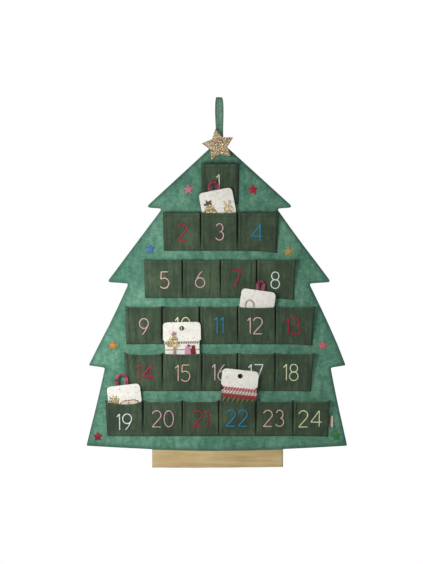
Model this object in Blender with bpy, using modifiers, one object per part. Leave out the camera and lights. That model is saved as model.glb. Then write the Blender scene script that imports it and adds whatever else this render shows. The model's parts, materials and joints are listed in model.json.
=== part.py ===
"""A fabric Christmas tree advent calendar: a padded tree with 24 numbered pockets and five gift cards.

It hangs flat against a wall by a strap loop. The wall is behind it at +Y, its front faces -Y, up is +Z.
The origin is the hook's seat: the inside of the loop's top, midway through the panel's thickness.
"""

import math

import bmesh
import bpy
from mathutils import Matrix, Vector

# Shared small sizes, in metres
GAP = 0.0003
WELD = 0.000003
OVERRUN = 0.002

# The hanging loop: a strap folded over the hook, its two legs sewn together down into the apex
LOOP_DROP = 0.0843
LOOP_LENGTH = 0.067
LOOP_HALF_GAP = 0.0045
STRAP_WIDTH = 0.0162
STRAP_THICKNESS = 0.002
TAIL_LENGTH = 0.034

# The pockets: one pleated strip of twill for each row
POCKET_WIDTH = 0.077
POCKET_HEIGHT = 0.077
POCKET_DEPTH = 0.0125
POCKET_CLOTH = 0.001
POCKET_SEAM = 0.003
ROW_SPACE = 0.0185
PLEAT_GAP = 0.003
PLEAT_RISE = 0.003
PLEAT_ROUND = 0.002
MOUTH_SAG = 0.002
# How far a pleat's wall has come out of the seam at the lowest ring
SEAM_RELIEF = 0.0005
# How much of the front wall's rise is bulge, the rest being a straight slope
BULGE_SHARE = 0.35
# How far out the pleat's fold turns towards the front wall
FOLD_SHARE = 0.85
# Heights of the rings that shape a pocket's wall, from the seam to the mouth
RING_SHARES = (0.0, 0.16, 0.36, 0.6, 0.82, 1.0)
# Places across the front wall that carry its sag
WALL_SHARES = (0.25, 0.5, 0.75)
# Each row: height, space above it, sideways shift, pocket widths and mouth sags
ROW_SHARES = (
    (1.065, 0.00, 0.021, (0.942,), (0.3,)),
    (1.014, 0.95, 0.045, (0.978, 0.990, 1.057), (0.3, 0.8, 0.3)),
    (1.009, 1.03, 0.028, (1.006, 1.009, 0.964, 1.033), (0.4, 0.3, 0.4, 0.3)),
    (0.993, 0.97, 0.023, (0.972, 0.996, 1.006, 1.004, 1.025), (0.3, 0.5, 0.3, 1.0, 0.3)),
    (0.996, 1.03, 0.016, (0.993, 1.046, 0.940, 1.001, 1.036), (1.0, 0.5, 0.4, 0.4, 0.4)),
    (0.932, 1.11, -0.025, (0.977, 1.033, 0.972, 0.990, 0.980, 0.972), (3.0, 0.5, 0.4, 0.5, 0.6, 0.4)),
)

# The tree panel: the velvet front turned back round its edge, the wadding and the back
TOP_MARGIN = 0.0506
BOTTOM_MARGIN = 0.0204
SIDE_MARGIN = 0.0403
HEM_BOW = 0.0100
EDGE_BOW = 0.004
TIP_ROUND = 0.006
NOTCH_ROUND = 0.003
FRONT_THICKNESS = 0.0012
BACK_THICKNESS = 0.001
ROLLED_EDGE = 0.0014
WADDING_INSET = 0.0022
# Each corner down the right edge: half width, drop below the apex, sideways drift and whether it is a tip
TIER_SHARES = (
    (0.570, 0.221, 0.004, True),
    (0.439, 0.225, 0.004, False),
    (0.862, 0.465, 0.001, True),
    (0.691, 0.470, -0.001, False),
    (0.989, 0.737, -0.015, True),
    (0.863, 0.745, -0.009, False),
    (1.000, 1.000, -0.017, True),
)
# How much each sloping edge bows inwards, left and right, top tier first, and where the bow has its points
TIER_BOW_SHARES = ((0.0, 0.0), (0.0, 0.5), (0.72, -0.45), (0.33, 0.33))
EDGE_STEP_SHARES = (0.25, 0.5, 0.75)
HEM_STEPS = 8
# The least sine of half a corner's angle, which limits how far a sharp corner draws in
SHARPEST_SHARE = 0.25

# The trunk below the hem
TRUNK_HALF_WIDTH = 0.1343
TRUNK_DRIFT = -0.0028
TRUNK_SHOWING = 0.034
TRUNK_TUCKED = 0.014
TRUNK_CLOTH = 0.001

# The star at the apex
STAR_RADIUS = 0.0328
STAR_INNER_RADIUS = 0.0176
STAR_THICKNESS = 0.005
STAR_BACKING_THICKNESS = 0.0012
STAR_BACKING_INSET = 0.0016
STAR_BEVEL = 0.001
STAR_DROP = 0.0123
STAR_SIDE = -0.001
STAR_TILT = math.radians(10.8)

# The little label in the side seam of the last pocket
LABEL_WIDTH = 0.0074
LABEL_HEIGHT = 0.0236
LABEL_THICKNESS = 0.0012
LABEL_DROP = 0.030

# The embroidered numerals
NUMERAL_HEIGHT = 0.0365
NUMERAL_STROKE = 0.0029
NUMERAL_THICKNESS = 0.0012
TRAVEL_WIDTH = 0.0006
TRAVEL_THICKNESS = 0.0003
# How much thinner each further stroke of a numeral is, so that one lies over the next
STROKE_LAYER_SHARE = 0.05
# How far a numeral was stitched from its pocket's middle, across and up, in numeral heights
NUMERAL_SHIFT_SHARES = {
    1: (-0.12, 0.05), 4: (0.0, -0.07), 5: (0.06, -0.05), 6: (-0.07, 0.0), 7: (-0.13, 0.0), 8: (-0.05, -0.06),
    9: (0.0, -0.07), 12: (-0.10, 0.0), 13: (-0.12, -0.04), 14: (0.07, -0.04), 15: (0.02, -0.04),
    17: (-0.03, -0.03), 18: (-0.21, 0.0), 19: (-0.04, -0.19), 22: (-0.04, 0.04), 23: (-0.06, 0.03),
    24: (-0.07, 0.0),
}
# The longest step along a stroke, the space between digits and each digit's width, in numeral heights
STEP_SHARE = 0.17
DIGIT_SPACE_SHARE = 0.19
DIGIT_WIDTH_SHARES = {
    "0": 0.56, "1": 0.17, "2": 0.54, "3": 0.50, "4": 0.68,
    "5": 0.52, "6": 0.56, "7": 0.52, "8": 0.52, "9": 0.54,
}
# Where the thread that travels between two digits meets each digit's foot, in its widths
FOOT_SHARES = {
    "0": 0.5, "1": 1.0, "2": 0.5, "3": 0.5, "4": 0.75,
    "5": 0.46, "6": 0.5, "7": 0.3, "8": 0.5, "9": 0.28,
}
# Each digit's strokes. A point is across in widths and up in heights. An arc is its centre, its radii, its
# first and last angle in degrees and its steps. A stroke whose first word is loop closes on itself.
DIGIT_STROKE_SHARES = {
    "0": (("loop", ((0.5, 0.5), (0.5, 0.5), 0, 340, 17)),),
    "1": (("line", (0.0, 0.8), (1.0, 1.0), (1.0, 0.0)),),
    "2": (("line", ((0.5, 0.72), (0.5, 0.28), 165, -25, 9), (0.0, 0.0), (1.0, 0.0)),),
    "3": (("line", ((0.5, 0.74), (0.42, 0.26), 160, -80, 9), ((0.5, 0.27), (0.5, 0.27), 70, -155, 10)),),
    "4": (("line", (0.75, 0.0), (0.75, 1.0), (0.0, 0.3), (1.0, 0.3)),),
    "5": (("line", (0.93, 1.0), (0.12, 1.0), (0.06, 0.56), ((0.45, 0.31), (0.55, 0.31), 75, -145, 9)),),
    "6": (
        ("loop", ((0.5, 0.3), (0.5, 0.3), 150, 490, 17)),
        ("line", (0.065, 0.45), (0.38, 0.78), (0.72, 1.0)),
    ),
    "7": (("line", (0.0, 1.0), (1.0, 1.0), (0.3, 0.0)),),
    "8": (
        ("loop", ((0.5, 0.76), (0.43, 0.24), -77, 259, 14)),
        ("loop", ((0.5, 0.27), (0.5, 0.27), 90, 426, 15)),
    ),
    "9": (
        ("loop", ((0.5, 0.7), (0.5, 0.3), -30, 310, 17)),
        ("line", (0.935, 0.55), (0.62, 0.22), (0.28, 0.0)),
    ),
}

RED = (0.43, 0.012, 0.05)
PINK = (0.75, 0.3, 0.4)
BLUE = (0.012, 0.16, 0.38)
CORAL = (0.83, 0.3, 0.28)
WHITE = (0.72, 0.84, 0.78)
YELLOW = (0.68, 0.68, 0.3)
PEACH = (0.62, 0.33, 0.2)
MAUVE = (0.55, 0.2, 0.34)
ROSE = (0.78, 0.5, 0.52)
NUMERAL_COLOURS = (
    YELLOW, RED, PINK, BLUE, CORAL, PINK, RED, WHITE, PINK, YELLOW, BLUE, ROSE,
    RED, RED, PEACH, MAUVE, WHITE, YELLOW, WHITE, PINK, RED, BLUE, CORAL, YELLOW,
)

GOLD = (0.4, 0.27, 0.13)
MAGENTA = (0.3, 0.03, 0.1)
GIFT_COLOURS = {
    "striped_band_15": (0.6, 0.3, 0.3),
    "gold_band_15": (0.5, 0.36, 0.18),
    "red_white_band_22": (0.6, 0.2, 0.22),
    "gold_white_band_22": (0.6, 0.5, 0.38),
    "dark_red_band_22": (0.35, 0.02, 0.04),
    "green_gold_band_22": (0.25, 0.25, 0.1),
    "glitter_clip_03": GOLD,
    "bow_clip_03": (0.5, 0.4, 0.25),
    "ring_clip_12": GOLD,
    "tree_clip_15": GOLD,
    "present_clip_15": (0.55, 0.12, 0.2),
    "crown_clip_19": GOLD,
    "oval_clip_19": (0.7, 0.62, 0.5),
}

# The gift cards
CARD_THICKNESS = 0.0008
CARD_ROUND = 0.0095
CARD_FOOT_STANDOFF = 0.0009
CARD_FOOT_CLEARANCE = 0.007
CARD_SIDE_CLEARANCE = 0.0008
CARD_HOLE_RADIUS = 0.0051
CARD_HOLE_DROP = 0.0127
HOLED_CARDS = ("15", "22")
CARD_TILTS = {
    "03": math.radians(11),
    "12": math.radians(-8),
    "15": math.radians(1),
    "19": math.radians(6.5),
    "22": math.radians(-6),
}
# Each card, by its pocket's number: how much narrower than its pocket it is, how much wider it is above its
# side notches, its height above the mouth and the notches' height
CARDS = {
    "03": (0.0009, 0.0, 0.0465, 0.0),
    "12": (0.0011, 0.0, 0.0345, 0.0),
    "15": (0.0053, 0.0068, 0.0650, 0.0255),
    "19": (0.0018, 0.0, 0.0335, 0.0),
    "22": (0.0046, 0.0086, 0.0650, 0.0288),
}

# What the cards carry
TIE_THICKNESS = 0.002
TIE_OVERLAP = 0.012
BAND_THICKNESS = 0.001
CLIP_THICKNESS = 0.003
CLIP_CLEARANCE = 0.0006
RING_WIDTH = 0.0012
# Hair ties: card, place across it, space between the legs, rise above the card and width of the band
TIES = {
    "hair_tie_03": ("03", -0.0045, 0.0125, 0.0200, 0.0050),
    "hair_tie_12": ("12", 0.0020, 0.0080, 0.0210, 0.0055),
    "hair_ribbon_19": ("19", -0.0020, 0.0155, 0.0245, 0.0048),
}
# Hair bands round a card: card, height above the mouth and width of the band
BANDS = {
    "striped_band_15": ("15", 0.0232, 0.0046),
    "gold_band_15": ("15", 0.0085, 0.0020),
    "red_white_band_22": ("22", 0.0249, 0.0064),
    "gold_white_band_22": ("22", 0.0179, 0.0064),
    "dark_red_band_22": ("22", 0.0109, 0.0064),
    "green_gold_band_22": ("22", 0.0045, 0.0058),
}
# Hair clips: card and shape, then width, height, place across and height above the mouth, in half card
# widths
CLIP_SHARES = {
    "glitter_clip_03": ("03", "tree", 0.65, 0.93, -0.48, -0.09),
    "bow_clip_03": ("03", "bow", 0.55, 0.70, 0.55, 0.28),
    "ring_clip_12": ("12", "ring", 0.51, 0.68, -0.45, 0.04),
    "tree_clip_15": ("15", "tree", 0.83, 1.42, -0.46, -0.06),
    "present_clip_15": ("15", "present", 0.58, 0.67, 0.50, -0.09),
    "crown_clip_19": ("19", "tree", 0.65, 0.71, -0.66, -0.21),
    "oval_clip_19": ("19", "oval", 1.09, 0.47, 0.25, 0.03),
}
CLIP_TILTS = {"tree_clip_15": math.radians(-8), "present_clip_15": math.radians(6)}
# Right halves of the clips' outlines, from the foot to the top: across in half widths, up in heights
CLIP_OUTLINE_SHARES = {
    "tree": (
        (0.2, 0.0), (0.2, 0.22), (1.0, 0.24), (0.55, 0.42), (0.75, 0.44), (0.35, 0.6),
        (0.5, 0.62), (0.16, 0.78), (0.42, 0.9), (0.14, 0.9), (0.0, 1.0),
    ),
    "present": ((1.0, 0.0), (1.0, 0.66), (0.25, 0.7), (0.8, 0.95), (0.0, 0.78)),
    "bow": (
        (0.35, -0.5), (0.9, -0.42), (1.0, -0.2), (0.7, -0.06), (0.3, 0.0),
        (0.7, 0.06), (1.0, 0.2), (0.9, 0.42), (0.35, 0.5), (0.0, 0.3),
    ),
}

# What follows from the sizes above
CORE_THICKNESS = 2 * STRAP_THICKNESS
CORE_HALF = CORE_THICKNESS / 2 + GAP
FACE_Y = -CORE_HALF - FRONT_THICKNESS
BACK_Y = CORE_HALF
APEX_Z = -LOOP_DROP
ROWS_HEIGHT = sum(POCKET_HEIGHT * height + ROW_SPACE * space for height, space, *_ in ROW_SHARES)
TREE_HEIGHT = TOP_MARGIN + ROWS_HEIGHT + BOTTOM_MARGIN
TREE_HALF_WIDTH = POCKET_WIDTH * sum(ROW_SHARES[-1][3]) / 2 + SIDE_MARGIN
HEM_Z = APEX_Z - TREE_HEIGHT - HEM_BOW
BANDED_CLIP_THICKNESS = CLIP_THICKNESS - BAND_THICKNESS - GAP
CARD_STANDOFF = POCKET_DEPTH - POCKET_CLOTH - CLIP_CLEARANCE - CLIP_THICKNESS - GAP - CARD_THICKNESS / 2

UPRIGHT = Matrix.Rotation(math.pi / 2, 4, "X")
EDGE_ON = Matrix.Rotation(math.pi / 2, 4, "Z") @ UPRIGHT


def clear_scene():
    for item in list(bpy.data.objects):
        bpy.data.objects.remove(item, do_unlink=True)


def new_collection(name):
    group = bpy.data.collections.new(name)
    bpy.context.scene.collection.children.link(group)
    return group


def move_to(piece, group):
    for holder in list(piece.users_collection):
        holder.objects.unlink(piece)
    group.objects.link(piece)


def finish(piece, group, colour, roughness=0.9, metallic=0.0):
    """Gives a piece its own material and puts it in its collection."""
    material = bpy.data.materials.new(piece.name)
    material.use_nodes = True
    shader = material.node_tree.nodes["Principled BSDF"]
    shader.inputs["Base Color"].default_value = (*colour, 1.0)
    shader.inputs["Roughness"].default_value = roughness
    shader.inputs["Metallic"].default_value = metallic
    piece.data.materials.clear()
    piece.data.materials.append(material)
    move_to(piece, group)


def as_cutter(piece, group):
    piece.hide_render = True
    piece.display_type = "WIRE"
    move_to(piece, group)
    return piece


def flat_shape(name, outlines, thickness, matrix):
    """A flat piece cut to closed outlines: the first is its edge, the others are holes."""
    curve = bpy.data.curves.new(name, "CURVE")
    curve.dimensions = "2D"
    curve.fill_mode = "BOTH"
    curve.extrude = thickness / 2
    for outline in outlines:
        spline = curve.splines.new("POLY")
        spline.points.add(len(outline) - 1)
        for point, (x, y) in zip(spline.points, outline):
            point.co = (x, y, 0.0, 1.0)
        spline.use_cyclic_u = True
    piece = bpy.data.objects.new(name, curve)
    piece.matrix_world = matrix
    bpy.context.scene.collection.objects.link(piece)
    return piece


def to_mesh(piece):
    """The same piece as a mesh with its caps welded, so that it can be cut or joined."""
    bpy.context.view_layer.update()
    graph = bpy.context.evaluated_depsgraph_get()
    mesh = bpy.data.meshes.new_from_object(piece.evaluated_get(graph))
    name = piece.name
    made = bpy.data.objects.new(name, mesh)
    made.matrix_world = piece.matrix_world
    bpy.data.objects.remove(piece, do_unlink=True)
    made.name = name
    bpy.context.scene.collection.objects.link(made)
    shape = bmesh.new()
    shape.from_mesh(mesh)
    bmesh.ops.remove_doubles(shape, verts=shape.verts, dist=WELD)
    bmesh.ops.recalc_face_normals(shape, faces=shape.faces)
    shape.to_mesh(mesh)
    shape.free()
    return made


def box_cutter(name, low, high, group):
    """A box between two corners, for cutting."""
    bpy.ops.mesh.primitive_cube_add(size=1.0)
    piece = bpy.context.active_object
    piece.name = name
    size = [b - a for a, b in zip(low, high)]
    piece.data.transform(Matrix.Diagonal((*size, 1.0)))
    piece.location = [(a + b) / 2 for a, b in zip(low, high)]
    return as_cutter(piece, group)


def cut(piece, cutter):
    knife = piece.modifiers.new(cutter.name, "BOOLEAN")
    knife.operation = "DIFFERENCE"
    knife.object = cutter


def standing(y, x=0.0, z=0.0):
    """The matrix that stands a flat shape up facing the front, with its middle at this depth."""
    return Matrix.Translation((x, y, z)) @ UPRIGHT


def arc(centre, radii, start, end, count):
    """Points along an ellipse's arc, in degrees."""
    found = []
    for i in range(count + 1):
        angle = math.radians(start + (end - start) * i / count)
        found.append((centre[0] + radii[0] * math.cos(angle), centre[1] + radii[1] * math.sin(angle)))
    return found


def rounded(corners, steps=3):
    """An outline with each corner (x, y, radius) rounded off."""
    found = []
    count = len(corners)
    for i, (x, y, radius) in enumerate(corners):
        if radius == 0:
            found.append((x, y))
            continue
        here = Vector((x, y))
        before = Vector(corners[i - 1][:2]) - here
        after = Vector(corners[(i + 1) % count][:2]) - here
        half = before.angle(after) / 2
        reach = min(radius / math.tan(half), before.length / 2, after.length / 2)
        start = here + before.normalized() * reach
        end = here + after.normalized() * reach
        for k in range(steps + 1):
            t = k / steps
            point = (1 - t) ** 2 * start + 2 * t * (1 - t) * here + t**2 * end
            found.append((point.x, point.y))
    return found


def tree_corners():
    """The tree's outline as corners with their rounding, clockwise from the apex."""
    sides = {1: [], -1: []}
    for side, found in sides.items():
        x_before, z_before = 0.0, APEX_Z
        bows = iter(TIER_BOW_SHARES)
        for half, drop, drift, is_tip in TIER_SHARES:
            x = TREE_HALF_WIDTH * (drift + side * half)
            z = APEX_Z - TREE_HEIGHT * drop
            if is_tip:
                left, right = next(bows)
                bow = side * EDGE_BOW * (right if side > 0 else left)
                for t in EDGE_STEP_SHARES:
                    depth = bow * math.sin(math.pi * t)
                    across = x_before + (x - x_before) * t - depth
                    found.append((across, z_before + (z - z_before) * t, 0.0))
            found.append((x, z, TIP_ROUND if is_tip else NOTCH_ROUND))
            x_before, z_before = x, z
    first, last = sides[1][-1], sides[-1][-1]
    hem = []
    for k in range(1, HEM_STEPS):
        t = k / HEM_STEPS
        hem.append((first[0] + (last[0] - first[0]) * t, first[1] - HEM_BOW * math.sin(math.pi * t), 0.0))
    return [(0.0, APEX_Z, NOTCH_ROUND)] + sides[1] + hem + sides[-1][::-1]


def drawn_in(corners, inset):
    """The same clockwise corners with every edge moved inwards by the inset."""
    found = []
    count = len(corners)
    for i, (x, z, radius) in enumerate(corners):
        here = Vector((x, z))
        arriving = (here - Vector(corners[i - 1][:2])).normalized()
        leaving = (Vector(corners[(i + 1) % count][:2]) - here).normalized()
        inward = Vector((arriving.y + leaving.y, -arriving.x - leaving.x)).normalized()
        reach = inset / max(inward.dot(Vector((arriving.y, -arriving.x))), SHARPEST_SHARE)
        place = here + inward * reach
        found.append((place.x, place.y, radius))
    return found


def make_panel(group, cutters):
    """The velvet front turned back round its edge, the wadding and the back."""
    strap_slot = box_cutter(
        "strap_slot",
        (-STRAP_WIDTH / 2 - GAP, -CORE_HALF, APEX_Z - TAIL_LENGTH - GAP),
        (STRAP_WIDTH / 2 + GAP, CORE_HALF + OVERRUN, APEX_Z + OVERRUN),
        cutters,
    )
    trunk_slot = box_cutter(
        "trunk_slot",
        (TRUNK_DRIFT - TRUNK_HALF_WIDTH - GAP, -CORE_HALF, HEM_Z - OVERRUN),
        (TRUNK_DRIFT + TRUNK_HALF_WIDTH + GAP, CORE_HALF + OVERRUN, HEM_Z + TRUNK_TUCKED + GAP),
        cutters,
    )
    corners = tree_corners()
    depth = BACK_Y - GAP - FACE_Y
    front = to_mesh(flat_shape("front_panel", [rounded(corners)], depth, standing(FACE_Y + depth / 2)))
    hollow_depth = 2 * CORE_HALF + OVERRUN
    hollow = flat_shape(
        "front_hollow", [rounded(drawn_in(corners, ROLLED_EDGE))], hollow_depth, standing(OVERRUN / 2)
    )
    cut(front, as_cutter(to_mesh(hollow), cutters))
    cut(front, strap_slot)
    cut(front, trunk_slot)
    finish(front, group, (0.085, 0.21, 0.145), 0.8)

    wadding = to_mesh(
        flat_shape("wadding", [rounded(drawn_in(corners, WADDING_INSET))], CORE_THICKNESS, standing(0.0))
    )
    cut(wadding, strap_slot)
    cut(wadding, trunk_slot)
    finish(wadding, group, (0.8, 0.8, 0.78))

    back_middle = BACK_Y + BACK_THICKNESS / 2
    back = flat_shape("back_panel", [rounded(corners)], BACK_THICKNESS, standing(back_middle))
    finish(back, group, (0.1, 0.2, 0.15))


def make_loop(group):
    """The strap folded over the hook's place, its two legs sewn together down into the apex."""
    steps = 12
    inner = []
    for i in range(1, steps):
        t = i / steps
        z = -LOOP_LENGTH + (LOOP_LENGTH - LOOP_HALF_GAP) * t
        inner.append((LOOP_HALF_GAP * math.sin(math.pi / 2 * t) ** 2, z))
    crown = (0.0, -LOOP_HALF_GAP)
    hole = inner + arc(crown, (LOOP_HALF_GAP, LOOP_HALF_GAP), 0, 180, 6)
    hole += [(-y, z) for y, z in reversed(inner)]
    outer_radius = LOOP_HALF_GAP + STRAP_THICKNESS
    leg = [(STRAP_THICKNESS, -LOOP_LENGTH)] + [(y + STRAP_THICKNESS, z) for y, z in inner]
    tail = APEX_Z - TAIL_LENGTH
    edge = [(STRAP_THICKNESS, tail)] + leg + arc(crown, (outer_radius, outer_radius), 0, 180, 6)
    edge += [(-y, z) for y, z in reversed(leg)] + [(-STRAP_THICKNESS, tail)]
    finish(flat_shape("hanging_loop", [edge, hole], STRAP_WIDTH, EDGE_ON), group, (0.1, 0.19, 0.14))


def make_trunk(group):
    """The gold strip: cloth folded round a stiffener, its two edges tucked up into the hem."""
    top = HEM_Z + TRUNK_TUCKED
    bottom = HEM_Z - TRUNK_SHOWING
    half = CORE_THICKNESS / 2
    inner = half - TRUNK_CLOTH
    outline = [(half, top), (half, bottom), (-half, bottom), (-half, top)]
    outline += [(-inner, top), (-inner, bottom + TRUNK_CLOTH), (inner, bottom + TRUNK_CLOTH), (inner, top)]
    across = Matrix.Translation((TRUNK_DRIFT, 0.0, 0.0)) @ EDGE_ON
    finish(flat_shape("trunk_cover", [outline], 2 * TRUNK_HALF_WIDTH, across), group, (0.45, 0.34, 0.17))
    low = bottom + TRUNK_CLOTH + GAP
    side = TRUNK_HALF_WIDTH - GAP
    outline = [(-side, low), (side, low), (side, top), (-side, top)]
    stiffener = flat_shape("trunk_stiffener", [outline], 2 * (inner - GAP), standing(0.0, TRUNK_DRIFT))
    finish(stiffener, group, (0.8, 0.8, 0.78))


def star_outline(outer, inner, points=5):
    found = []
    for i in range(2 * points):
        radius = outer if i % 2 == 0 else inner
        angle = math.pi / 2 + STAR_TILT + math.pi * i / points
        found.append((radius * math.cos(angle), radius * math.sin(angle)))
    return found


def make_star(group):
    """The padded glitter star and the felt star behind it, sewn to the apex."""
    z = APEX_Z - STAR_DROP
    backing_y = FACE_Y - GAP - STAR_BACKING_THICKNESS / 2
    shrink = 1 - STAR_BACKING_INSET / STAR_INNER_RADIUS
    outline = star_outline(STAR_RADIUS * shrink, STAR_INNER_RADIUS * shrink)
    place = standing(backing_y, STAR_SIDE, z)
    backing = flat_shape("star_backing", [outline], STAR_BACKING_THICKNESS, place)
    finish(backing, group, (0.3, 0.25, 0.16))
    star_y = backing_y - STAR_BACKING_THICKNESS / 2 - GAP - STAR_THICKNESS / 2
    outline = star_outline(STAR_RADIUS, STAR_INNER_RADIUS)
    star = to_mesh(flat_shape("star_topper", [outline], STAR_THICKNESS, standing(star_y, STAR_SIDE, z)))
    edge = star.modifiers.new("soft edge", "BEVEL")
    edge.width = STAR_BEVEL
    edge.segments = 2
    finish(star, group, (0.35, 0.26, 0.14), 0.5, 0.6)


class Pocket:
    """One pocket's place in its strip, and where its front wall stands."""

    def __init__(self, low_x, high_x, seam_z, mouth_z, sag):
        self.low_x = low_x
        self.high_x = high_x
        self.seam_z = seam_z
        self.mouth_z = mouth_z
        self.sag = sag
        self.middle = (low_x + high_x) / 2
        self.room = high_x - low_x - PLEAT_GAP - 2 * POCKET_CLOTH

    def top(self, x):
        """The height of the mouth's sagging edge."""
        u = (x - self.middle) / ((self.high_x - self.low_x) / 2)
        return self.mouth_z - self.sag * max(0.0, 1 - u * u)

    def standoff(self, t):
        """How far the wall's outer face stands off the panel, t from 0 at the seam to 1 at the mouth."""
        low = GAP + POCKET_CLOTH + SEAM_RELIEF
        rise = (1 - BULGE_SHARE) * t + BULGE_SHARE * math.sin(math.pi / 2 * t)
        return low + (POCKET_DEPTH - low) * rise

    def wall(self, x, z):
        t = (z - self.seam_z) / (self.top(x) - self.seam_z)
        return self.standoff(min(1.0, max(0.0, t)))


def pocket_rows():
    """Every row's pockets, left to right."""
    rows = []
    z = APEX_Z - TOP_MARGIN
    for height, space, shift, widths, sags in ROW_SHARES:
        mouth = z - ROW_SPACE * space
        z = mouth - POCKET_HEIGHT * height
        x = POCKET_WIDTH * (shift - sum(widths) / 2)
        row = []
        for width, sag in zip(widths, sags):
            row.append(Pocket(x, x + POCKET_WIDTH * width, z + POCKET_SEAM, mouth, MOUTH_SAG * sag))
            x += POCKET_WIDTH * width
        rows.append(row)
    return rows


def strip_columns(row):
    """The strip's path across the row: for each column its x, the share of the standoff, and its pocket."""
    columns = []
    for pocket in row:
        low = pocket.low_x + PLEAT_GAP / 2
        high = pocket.high_x - PLEAT_GAP / 2
        columns += [(low, 0.0, pocket), (low, FOLD_SHARE, pocket), (low + PLEAT_ROUND, 1.0, pocket)]
        columns += [(low + (high - low) * share, 1.0, pocket) for share in WALL_SHARES]
        columns += [(high - PLEAT_ROUND, 1.0, pocket), (high, FOLD_SHARE, pocket), (high, 0.0, pocket)]
    return [(row[0].low_x, 0.0, row[0]), *columns, (row[-1].high_x, 0.0, row[-1])]


def make_strip(name, row, group):
    """One row's strip of twill, pleated to the panel between its pockets and sewn flat along the bottom."""
    seam_level = GAP + POCKET_CLOTH
    columns = strip_columns(row)
    shape = bmesh.new()
    rings = []
    for level in (None, *RING_SHARES):
        t = level or 0.0
        ring = []
        for x, share, pocket in columns:
            top = pocket.top(x) if share == 1.0 else pocket.mouth_z + PLEAT_RISE * (1 - share)
            z = pocket.seam_z + t * (top - pocket.seam_z)
            if level is None:
                z = pocket.seam_z - POCKET_SEAM
            stand = seam_level + (pocket.standoff(t) - seam_level) * share
            ring.append(shape.verts.new((x, FACE_Y - stand, z)))
        rings.append(ring)
    for low, high in zip(rings, rings[1:]):
        for i in range(len(low) - 1):
            shape.faces.new((low[i], low[i + 1], high[i + 1], high[i]))
    mesh = bpy.data.meshes.new(name)
    shape.to_mesh(mesh)
    shape.free()
    strip = bpy.data.objects.new(name, mesh)
    cloth = strip.modifiers.new("cloth", "SOLIDIFY")
    cloth.thickness = POCKET_CLOTH
    cloth.offset = -1.0
    cloth.use_even_offset = True
    finish(strip, group, (0.055, 0.09, 0.05))


def digit_strokes(digit):
    """A digit's strokes in numeral heights: lists of points, and whether each closes on itself."""
    width = DIGIT_WIDTH_SHARES[digit]
    found = []
    for form, *parts in DIGIT_STROKE_SHARES[digit]:
        points = []
        for part in parts:
            points += arc(*part) if len(part) > 2 else [part]
        found.append(([(x * width, z) for x, z in points], form == "loop"))
    return found


def subdivided(points, closed):
    """The same stroke with no step longer than a set share of the numeral's height."""
    found = []
    ends = points + points[:1] if closed else points
    for here, there in zip(ends, ends[1:]):
        count = max(1, math.ceil(math.dist(here, there) / STEP_SHARE))
        for k in range(count):
            t = k / count
            found.append((here[0] + (there[0] - here[0]) * t, here[1] + (there[1] - here[1]) * t))
    if not closed:
        found.append(points[-1])
    return found


def thread(name, points, closed, width, thickness):
    """A flat ridge of thread along a stroke: four-sided, as wide and thick as asked."""
    curve = bpy.data.curves.new(name, "CURVE")
    curve.dimensions = "3D"
    curve.fill_mode = "FULL"
    curve.twist_mode = "Z_UP"
    curve.bevel_depth = width / 2
    curve.bevel_resolution = 0
    curve.use_fill_caps = True
    spline = curve.splines.new("POLY")
    spline.points.add(len(points) - 1)
    for point, (x, y) in zip(spline.points, points):
        point.co = (x, y, 0.0, 1.0)
    spline.use_cyclic_u = closed
    piece = bpy.data.objects.new(name, curve)
    bpy.context.scene.collection.objects.link(piece)
    made = to_mesh(piece)
    made.data.transform(Matrix.Diagonal((1.0, 1.0, thickness / width, 1.0)))
    return made


def joined(name, pieces):
    """One closed mesh from overlapping pieces."""
    base, *helpers = pieces
    for helper in helpers:
        union = base.modifiers.new(helper.name, "BOOLEAN")
        union.operation = "UNION"
        union.object = helper
    base.name = name
    made = to_mesh(base)
    for helper in helpers:
        bpy.data.objects.remove(helper, do_unlink=True)
    return made


def make_numeral(number, pocket, colour, group):
    """One numeral, its strokes joined, laid on its pocket's front wall."""
    tall = NUMERAL_HEIGHT - NUMERAL_STROKE
    strokes = []
    feet = []
    x = 0.0
    for digit in str(number):
        for points, closed in digit_strokes(digit):
            layer = 1 - STROKE_LAYER_SHARE * len(strokes)
            points = [(x + a, b) for a, b in subdivided(points, closed)]
            strokes.append((points, closed, NUMERAL_STROKE * layer, NUMERAL_THICKNESS * layer))
        width = DIGIT_WIDTH_SHARES[digit]
        feet.append((x + width * FOOT_SHARES[digit], 0.0))
        x += width + DIGIT_SPACE_SHARE
    if len(feet) == 2:
        strokes.append((feet, False, TRAVEL_WIDTH, TRAVEL_THICKNESS))
    middle = (x - DIGIT_SPACE_SHARE) / 2
    pieces = []
    for i, (points, closed, width, thickness) in enumerate(strokes):
        real = [((a - middle) * tall, (b - 0.5) * tall) for a, b in points]
        pieces.append(thread(f"stroke_{number}_{i}", real, closed, width, thickness))
    numeral = joined(f"numeral_{number:02d}", pieces)
    side, rise = NUMERAL_SHIFT_SHARES.get(number, (0.0, 0.0))
    middle_x = pocket.middle + side * NUMERAL_HEIGHT
    middle_z = (pocket.seam_z - POCKET_SEAM + pocket.mouth_z) / 2 + rise * NUMERAL_HEIGHT
    for vertex in numeral.data.vertices:
        across, up, out = vertex.co
        x = middle_x + across
        z = middle_z + up
        stand = pocket.wall(x, z) + GAP + NUMERAL_THICKNESS / 2 + out
        vertex.co = (x, FACE_Y - stand, z)
    finish(numeral, group, colour, 0.6)


def make_label(pocket, group):
    """The folded cream label in the last pocket's side seam."""
    low_x = pocket.high_x + GAP
    high_x = low_x + LABEL_WIDTH
    top = pocket.mouth_z - LABEL_DROP
    low = top - LABEL_HEIGHT
    outline = [(low_x, low), (high_x, low), (high_x, top), (low_x, top)]
    y = FACE_Y - GAP - LABEL_THICKNESS / 2
    finish(flat_shape("side_label", [outline], LABEL_THICKNESS, standing(y)), group, (0.75, 0.68, 0.55))


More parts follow.
